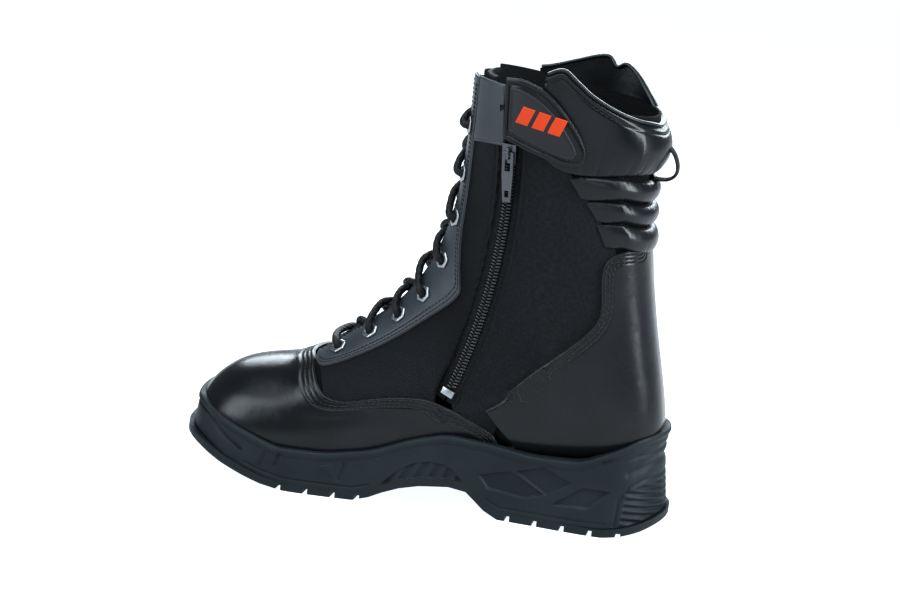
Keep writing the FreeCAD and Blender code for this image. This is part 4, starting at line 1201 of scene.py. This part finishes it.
badge_top = side_curve([(-53.5, 265.5), (-60, 264), (-69, 259.5), (-79.5, 250.5), (-87, 240), (-91, 232.5),
                        (-91.8, 229.5)])
badge_low = side_curve([(-53, 240), (-60, 236.5), (-70, 232), (-79, 228.2), (-86, 226), (-89.5, 226),
                        (-91.2, 227.2)])
badge_run = run_length(badge_low, badge_top)


def badge_relief(u, d_low, d_high):
    """A raised moulded rim with a groove inside it."""
    d = np.minimum(np.minimum(d_low, d_high), np.minimum(u, badge_run - u))
    return 0.2 * np.exp(-((d - 0.9) / 0.6) ** 2) - 0.35 * np.exp(-((d - 2.3) / 0.5) ** 2)


badge = panel("badge", badge_low, badge_top, (5.2, 6.1), 110, 70, BADGE, near=SEAM[:9], far=SEAM[:9],
              relief=badge_relief, edge=0.6)
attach(badge, "flap")
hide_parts("flap_badge")
for k in range(3):
    x = -57.0 - 9.2 * k
    z = 245.5 - 2.4 * k
    low = side_curve([(x, z), (x - 3.5, z - 0.9), (x - 7.0, z - 1.8)])
    high = side_curve([(x - 4.5, z + 9.5), (x - 8.0, z + 8.6), (x - 11.5, z + 7.7)])
    bar = panel("orange bar " + str(k + 1), low, high, (6.05, 6.45), 12, 12, ORANGE, edge=0.4)
    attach(bar, "flap")
print("flap run:", round(flap_run, 1), "mm")

# %% [markdown]
# ## The sole unit
#
# The cup's side wall is one strip round the outline. Each point knows how far along the shoe
# it is, and its height. Grooves, recesses and ribs are drawn in that flat side view with simple
# distance rules, and push the wall in or out. A displacement painted by hand would also do it,
# but numbers keep the pattern crisp. The wall leans in at both ends, and its rim reaches as far
# inwards as the leather is away.

# %% Outline and heights of the sole
PLAN = np.array([
    (154.9, 4), (153.9, 19), (149.4, 36), (139.9, 47.5), (125.9, 55), (107.9, 58.2), (74.9, 57.8), (44.9, 54),
    (14.9, 48.4), (-15.1, 43.8), (-50.1, 41.4), (-90.1, 41), (-118.1, 40), (-137.1, 34), (-148.1, 22),
    (-153.6, 10), (-155.1, -1), (-153.1, -14), (-147.1, -27), (-134.1, -38), (-112.1, -43), (-85.1, -45.2),
    (-50.1, -48.8), (-15.1, -52.7), (14.9, -56.2), (47.9, -58.5), (79.9, -58.4), (104.9, -56), (123.9, -51),
    (138.9, -42), (148.9, -29), (153.9, -12)])
CUP_TOP = np.array([
    (160, 60), (148, 59), (137, 54), (121, 48), (107, 43), (85, 35), (53, 33.5), (24, 37), (2, 45), (-20, 50),
    (-50, 46), (-73, 41.5), (-102, 41), (-125, 49), (-143, 56), (-160, 58)])
TREAD = np.array([
    (164, 27), (154, 23), (144, 20.5), (136, 18), (119, 11), (103, 5.5), (92, 2.4), (78, 0.2), (72, 0), (34, 0),
    (24, 3), (16, 7), (6, 11), (-6, 14), (-24, 16), (-35, 14.5), (-40.5, 10), (-47, 4.5), (-56, 0), (-120, 0),
    (-130, 1.5), (-142, 4.5), (-152, 8), (-162, 12)])


def closed_spline(points, count):
    """Points on a smooth closed curve: slopes from one linear system, then cubic pieces."""
    n = len(points)
    system = 4 * np.eye(n) + np.roll(np.eye(n), 1, 0) + np.roll(np.eye(n), -1, 0)
    slope = np.linalg.solve(system, 3 * (np.roll(points, -1, 0) - np.roll(points, 1, 0)))
    t = np.linspace(0, n, count, endpoint=False)
    k = t.astype(int)
    f = (t - k)[:, None]
    p0, p1, m0, m1 = points[k], points[(k + 1) % n], slope[k], slope[(k + 1) % n]
    return ((2 * f**3 - 3 * f**2 + 1) * p0 + (f**3 - 2 * f**2 + f) * m0 + (3 * f**2 - 2 * f**3) * p1
            + (f**3 - f**2) * m1)


def smooth_read(x, points):
    """A smooth curve through the points, read at x: a straight reading, averaged over 13 mm."""
    xs, zs = np.array(points, float)[::-1].T
    return sum(np.interp(x + shift, xs, zs) for shift in np.linspace(-6.5, 6.5, 9)) / 9


outline = closed_spline(PLAN, 6000)
walk = np.concatenate([[0], np.cumsum(np.linalg.norm(np.diff(outline, axis=0, append=outline[:1]), axis=1))])
ROUND = 1040
at = np.linspace(0, walk[-1], ROUND, endpoint=False)
outline = np.stack([np.interp(at, walk, np.append(outline[:, c], outline[0, c])) for c in (0, 1)], -1)
heading = unit(np.roll(outline, -1, 0) - np.roll(outline, 1, 0))
facing_out = np.stack([heading[:, 1], -heading[:, 0]], -1)
facing_out *= np.sign((facing_out * outline).sum(-1).mean())
inner = outline[:, 1] > 0
first_toe = np.argmin(np.where(inner, np.abs(outline[:, 0] - 130), 999))
first_heel = np.argmin(np.where(inner, np.abs(outline[:, 0] + 130), 999))
last_heel = np.argmin(np.where(inner, 999, np.abs(outline[:, 0] + 130)))
last_toe = np.argmin(np.where(inner, 999, np.abs(outline[:, 0] - 130)))
side_x = outline[:, 0].copy()
k = np.arange(ROUND)
side_x = np.where(k < first_toe, 130 + at[first_toe] - at, side_x)
heel_middle = (at[first_heel] + at[last_heel]) / 2
side_x = np.where((k > first_heel) & (at <= heel_middle), -130 - (at - at[first_heel]), side_x)
side_x = np.where((at > heel_middle) & (k < last_heel), -130 - (at[last_heel] - at), side_x)
side_x = np.where(k > last_toe, 130 + at - at[last_toe], side_x)
top_x, top_z = seated(CUP_TOP[:, 0], CUP_TOP[:, 1])
wall_top = smooth_read(outline[:, 0], np.stack([top_x, top_z], -1))
wall_low = np.interp(outline[:, 0], TREAD[::-1, 0], TREAD[::-1, 1]) + 5
print("round the sole:", round(walk[-1]), "mm")

# %% [markdown]
# The pattern is a small set of rules: the distance to a line makes a groove, and the inside of
# a polygon makes a recess with a soft step at its border.

# %% The pattern of the side wall
def line_distance(x, z, points):
    """Distance to a polyline: the least distance to any of its straight pieces."""
    best = np.full(np.broadcast(x, z).shape, 1e9)
    for (x0, z0), (x1, z1) in zip(points, points[1:]):
        dx, dz = x1 - x0, z1 - z0
        f = np.clip(((x - x0) * dx + (z - z0) * dz) / (dx * dx + dz * dz), 0, 1)
        best = np.minimum(best, np.hypot(x - x0 - f * dx, z - z0 - f * dz))
    return best


def groove(x, z, points, width, depth):
    """A rounded channel along a polyline."""
    return -depth * np.exp(-(line_distance(x, z, points) / width) ** 2)


def recess(x, z, corners, depth, soft_step=0.5):
    """Lowered by depth inside a polygon. Inside, a ray crosses its border an odd number of times."""
    ring = list(corners) + [corners[0]]
    inside = np.zeros(np.broadcast(x, z).shape, bool)
    for (x0, z0), (x1, z1) in zip(ring, ring[1:]):
        crosses = (z0 > z) != (z1 > z)
        inside ^= crosses & (x < x0 + (z - z0) * (x1 - x0) / (z1 - z0 if z1 != z0 else 1e-9))
    d = np.where(inside, 1, -1) * line_distance(x, z, ring)
    return -depth * np.clip(0.5 + d / (2 * soft_step), 0, 1)


def wall_pattern(x, z, above_low, below_top):
    """All features of the side wall, in mm outwards; x is along the shoe and z is height."""
    out = groove(x, z, [(180, 43), (150, 41.5), (133.2, 34.6), (120.8, 27.7), (107.7, 21.2)], 1.1, 1.7)
    out += groove(x, z, [(94, 13.5), (91, 21.5)], 1.0, 1.2) + groove(x, z, [(83.5, 15.5), (81, 23)], 1.0, 1.2)
    out += groove(x, z, [(43, 12), (40.5, 22)], 1.2, 1.2)
    out -= recess(x, z, [(56, 19), (47.5, 21), (46.5, 14.5)], 0.7)
    parallel = np.exp(-((above_low - 3.2) / 0.6) ** 2) * ((x < 104) & (x > 24) | (x < -48) & (x > -122))
    out -= 0.8 * parallel
    arch = [(17, 12), (6.3, 22.8), (-2, 27.5), (-11.5, 29.8), (-20, 29), (-26, 26), (-39, 13), (-30, 8), (0, 8)]
    hollow = recess(x, z, arch, 1.8, 0.8)
    ribs = np.clip(np.cos(2 * math.pi * (x + 0.45 * z) / 8.0) * 1.6, -1, 1) * 0.5 + 0.5
    out += hollow * (1 - 0.75 * ribs)
    out += groove(x, z, arch[:7], 0.7, 0.5)
    out += recess(x, z, [(-42.4, 26.3), (-60.7, 31.4), (-82, 20.6), (-70.8, 16.5), (-48.3, 18.8)], 1.8)
    out += recess(x, z, [(-65, 32.3), (-80.7, 37.3), (-97.7, 30.6), (-84, 20.7)], 1.8)
    out += recess(x, z, [(-89, 15.9), (-106, 28.8), (-122.5, 27.8), (-110, 16.7)], 1.8)
    out += groove(x, z, [(-115.8, 46), (-140, 50.5), (-180, 55)], 1.4, 1.0)
    out += groove(x, z, [(-134, 40), (-158, 46), (-185, 48)], 2.4, 1.2)
    block = [(-133.5, 28), (-150, 32.5), (-200, 34), (-200, 2), (-130, 2)]
    steps = np.clip(np.sin(2 * math.pi * (z - 0.12 * x) / 4.3) * 1.8, -1, 1) * 0.5 + 0.5
    out += recess(x, z, block, 1.6, 0.6) * steps
    out += groove(x, z, [(-127.3, 6), (-128.5, 22.4), (-135.8, 31.5), (-150, 36), (-200, 38)], 1.0, 1.1)
    lip = 0.7 * np.exp(-((below_top - 1.6) / 1.4) ** 2) - 0.5 * np.exp(-((below_top - 4.4) / 0.8) ** 2)
    flare = 1.2 * np.clip((x - 132) / 20, 0, 1) + 1.4 * np.clip((-135 - x) / 25, 0, 1)
    return out + lip + flare * np.exp(-below_top / 9)


v = np.linspace(0, 1, 66)
z = wall_low[:, None] + (wall_top - wall_low)[:, None] * v
pattern = wall_pattern(side_x[:, None], z, z - wall_low[:, None], wall_top[:, None] - z)
pattern = pattern * np.clip((z - wall_low[:, None]) / 0.8, 0, 1)
toe, heel_end = np.clip((outline[:, :1] - 80) / 55, 0, 1), np.clip((-105 - outline[:, :1]) / 35, 0, 1)
up_the_wall = np.clip((z - wall_low[:, None]) / 34, 0, 1)
lean = 3.5 * toe + 2.0 * heel_end + (1.5 + 5.0 * toe + 3.0 * heel_end) * up_the_wall
wall = outline[:, None] + facing_out[:, None] * (pattern - lean)[..., None]
wall = np.concatenate([wall, z[..., None]], -1)
foot = np.vstack([points_of(piece.data)[::5] / MM for piece in (vamp, heel)])
reach = nearest(wall[:, -1], foot[foot[:, 2] < 80]) + 1.8
reach = sum(np.roll(reach, k) for k in range(-12, 13)) / 25
inset = np.clip(reach, 4, 18)[:, None] * (0.05, 0.12, 0.25, 0.42, 0.65, 0.9, 1.0, 1.0)
rise = np.array([0.35, 0.55, 0.6, 0.5, 0.3, 0.0, -3.0, -8.0])
edge_xy = wall[:, -1:, :2] - facing_out[:, None] * inset[..., None]
top_rows = np.concatenate([edge_xy, (wall_top[:, None] + rise)[..., None]], -1)
low_xy = wall[:, :1, :2] - facing_out[:, None] * inset[:, None, -1:]
inner_low = np.concatenate([low_xy, wall[:, :1, 2:]], -1)
loops = np.concatenate([wall, top_rows, inner_low], 1)
k = np.arange(ROUND * loops.shape[1]).reshape(ROUND, -1)
ahead, up = np.roll(k, -1, 0), np.roll(k, -1, 1)
quads = np.stack([k, ahead, np.roll(ahead, -1, 1), up], -1).reshape(-1, 4)
cup = outward(mesh_object("sole wall", loops.reshape(-1, 3), quads))
cup.data.materials.append(RUBBER)
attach(cup, "boot")
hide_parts("midsole_cup")
dress("outsole_tread", RUBBER, 0.5)
print("sole wall faces:", len(quads))

# %% [markdown]
# ## Floor, camera and light
#
# Glossy black shows mostly what it reflects, so large soft panels give it broad, calm
# highlights. The floor glows faintly, like a lit white table, so the background stays white
# without bright lamps. The camera has a long lens and is turned a little about its own axis.
# A gamma below 1 deepens the dark tones, which suits black leather on white.

# %% Stage
def area_light(name, at_point, aim, size, power, color=(1, 1, 1)):
    """A soft panel of light at a point, facing another point."""
    data = bpy.data.lights.new(name, "AREA")
    data.shape = "RECTANGLE"
    data.size, data.size_y = size
    data.energy = power
    data.color = color
    obj = bpy.data.objects.new(name, data)
    obj.location = at_point
    look = np.array(aim, float) - np.array(at_point, float)
    obj.rotation_euler = Vector(look).to_track_quat("-Z", "Y").to_euler()
    bpy.context.scene.collection.objects.link(obj)
    return obj


bpy.ops.mesh.primitive_plane_add(size=60, location=(0, 0, 0))
floor = bpy.context.object
floor.name = "studio_floor"
white = new_material("studio white", (0.25, 0.25, 0.25), 0.9, Emission_Color=(0.94, 1.0, 1.07, 1),
                     Emission_Strength=1.0)
floor.data.materials.append(white)
world = bpy.data.worlds.new("studio")
bpy.context.scene.world = world
world.use_nodes = True
world.node_tree.nodes["Background"].inputs["Color"].default_value = (0.86, 0.93, 1.0, 1)
world.node_tree.nodes["Background"].inputs["Strength"].default_value = 0.2
area_light("overhead", (0.05, 0.25, 1.25), (0, 0, 0.1), (1.3, 0.9), 20, (0.90, 0.96, 1.0))
area_light("side panel", (0.95, 0.9, 0.7), (0, 0, 0.12), (0.5, 1.0), 12, (0.88, 0.95, 1.0))
area_light("back strip", (-0.85, 0.15, 0.55), (-0.1, 0, 0.14), (0.25, 0.9), 14, (0.92, 0.97, 1.0))
area_light("rear panel light", (0.15, -1.7, 0.95), (0, 0, 0.1), (2.2, 0.9), 45, (0.86, 0.94, 1.0))
area_light("front fill", (-0.2, 1.5, 0.6), (0, 0, 0.12), (0.9, 0.5), 4, (0.92, 0.97, 1.0))

position, target = Vector((-0.23817, 1.04145, 0.38284)), Vector((0.00587, 0.0, 0.12626))
data = bpy.data.cameras.new("camera")
data.lens, data.sensor_width = 70.4, 36
data.shift_x, data.shift_y = 0.0162, -0.0094
data.clip_start, data.clip_end = 0.05, 50
camera = bpy.data.objects.new("camera", data)
roll = Matrix.Rotation(math.radians(5.592), 4, "Z")
turn = (target - position).to_track_quat("-Z", "Y").to_matrix().to_4x4()
camera.matrix_world = Matrix.Translation(position) @ turn @ roll
bpy.context.scene.collection.objects.link(camera)
bpy.context.scene.camera = camera
scene = bpy.context.scene
scene.view_settings.view_transform = "Standard"
scene.view_settings.look = "None"
scene.view_settings.gamma = 0.8
print("camera at", tuple(round(c, 3) for c in position))
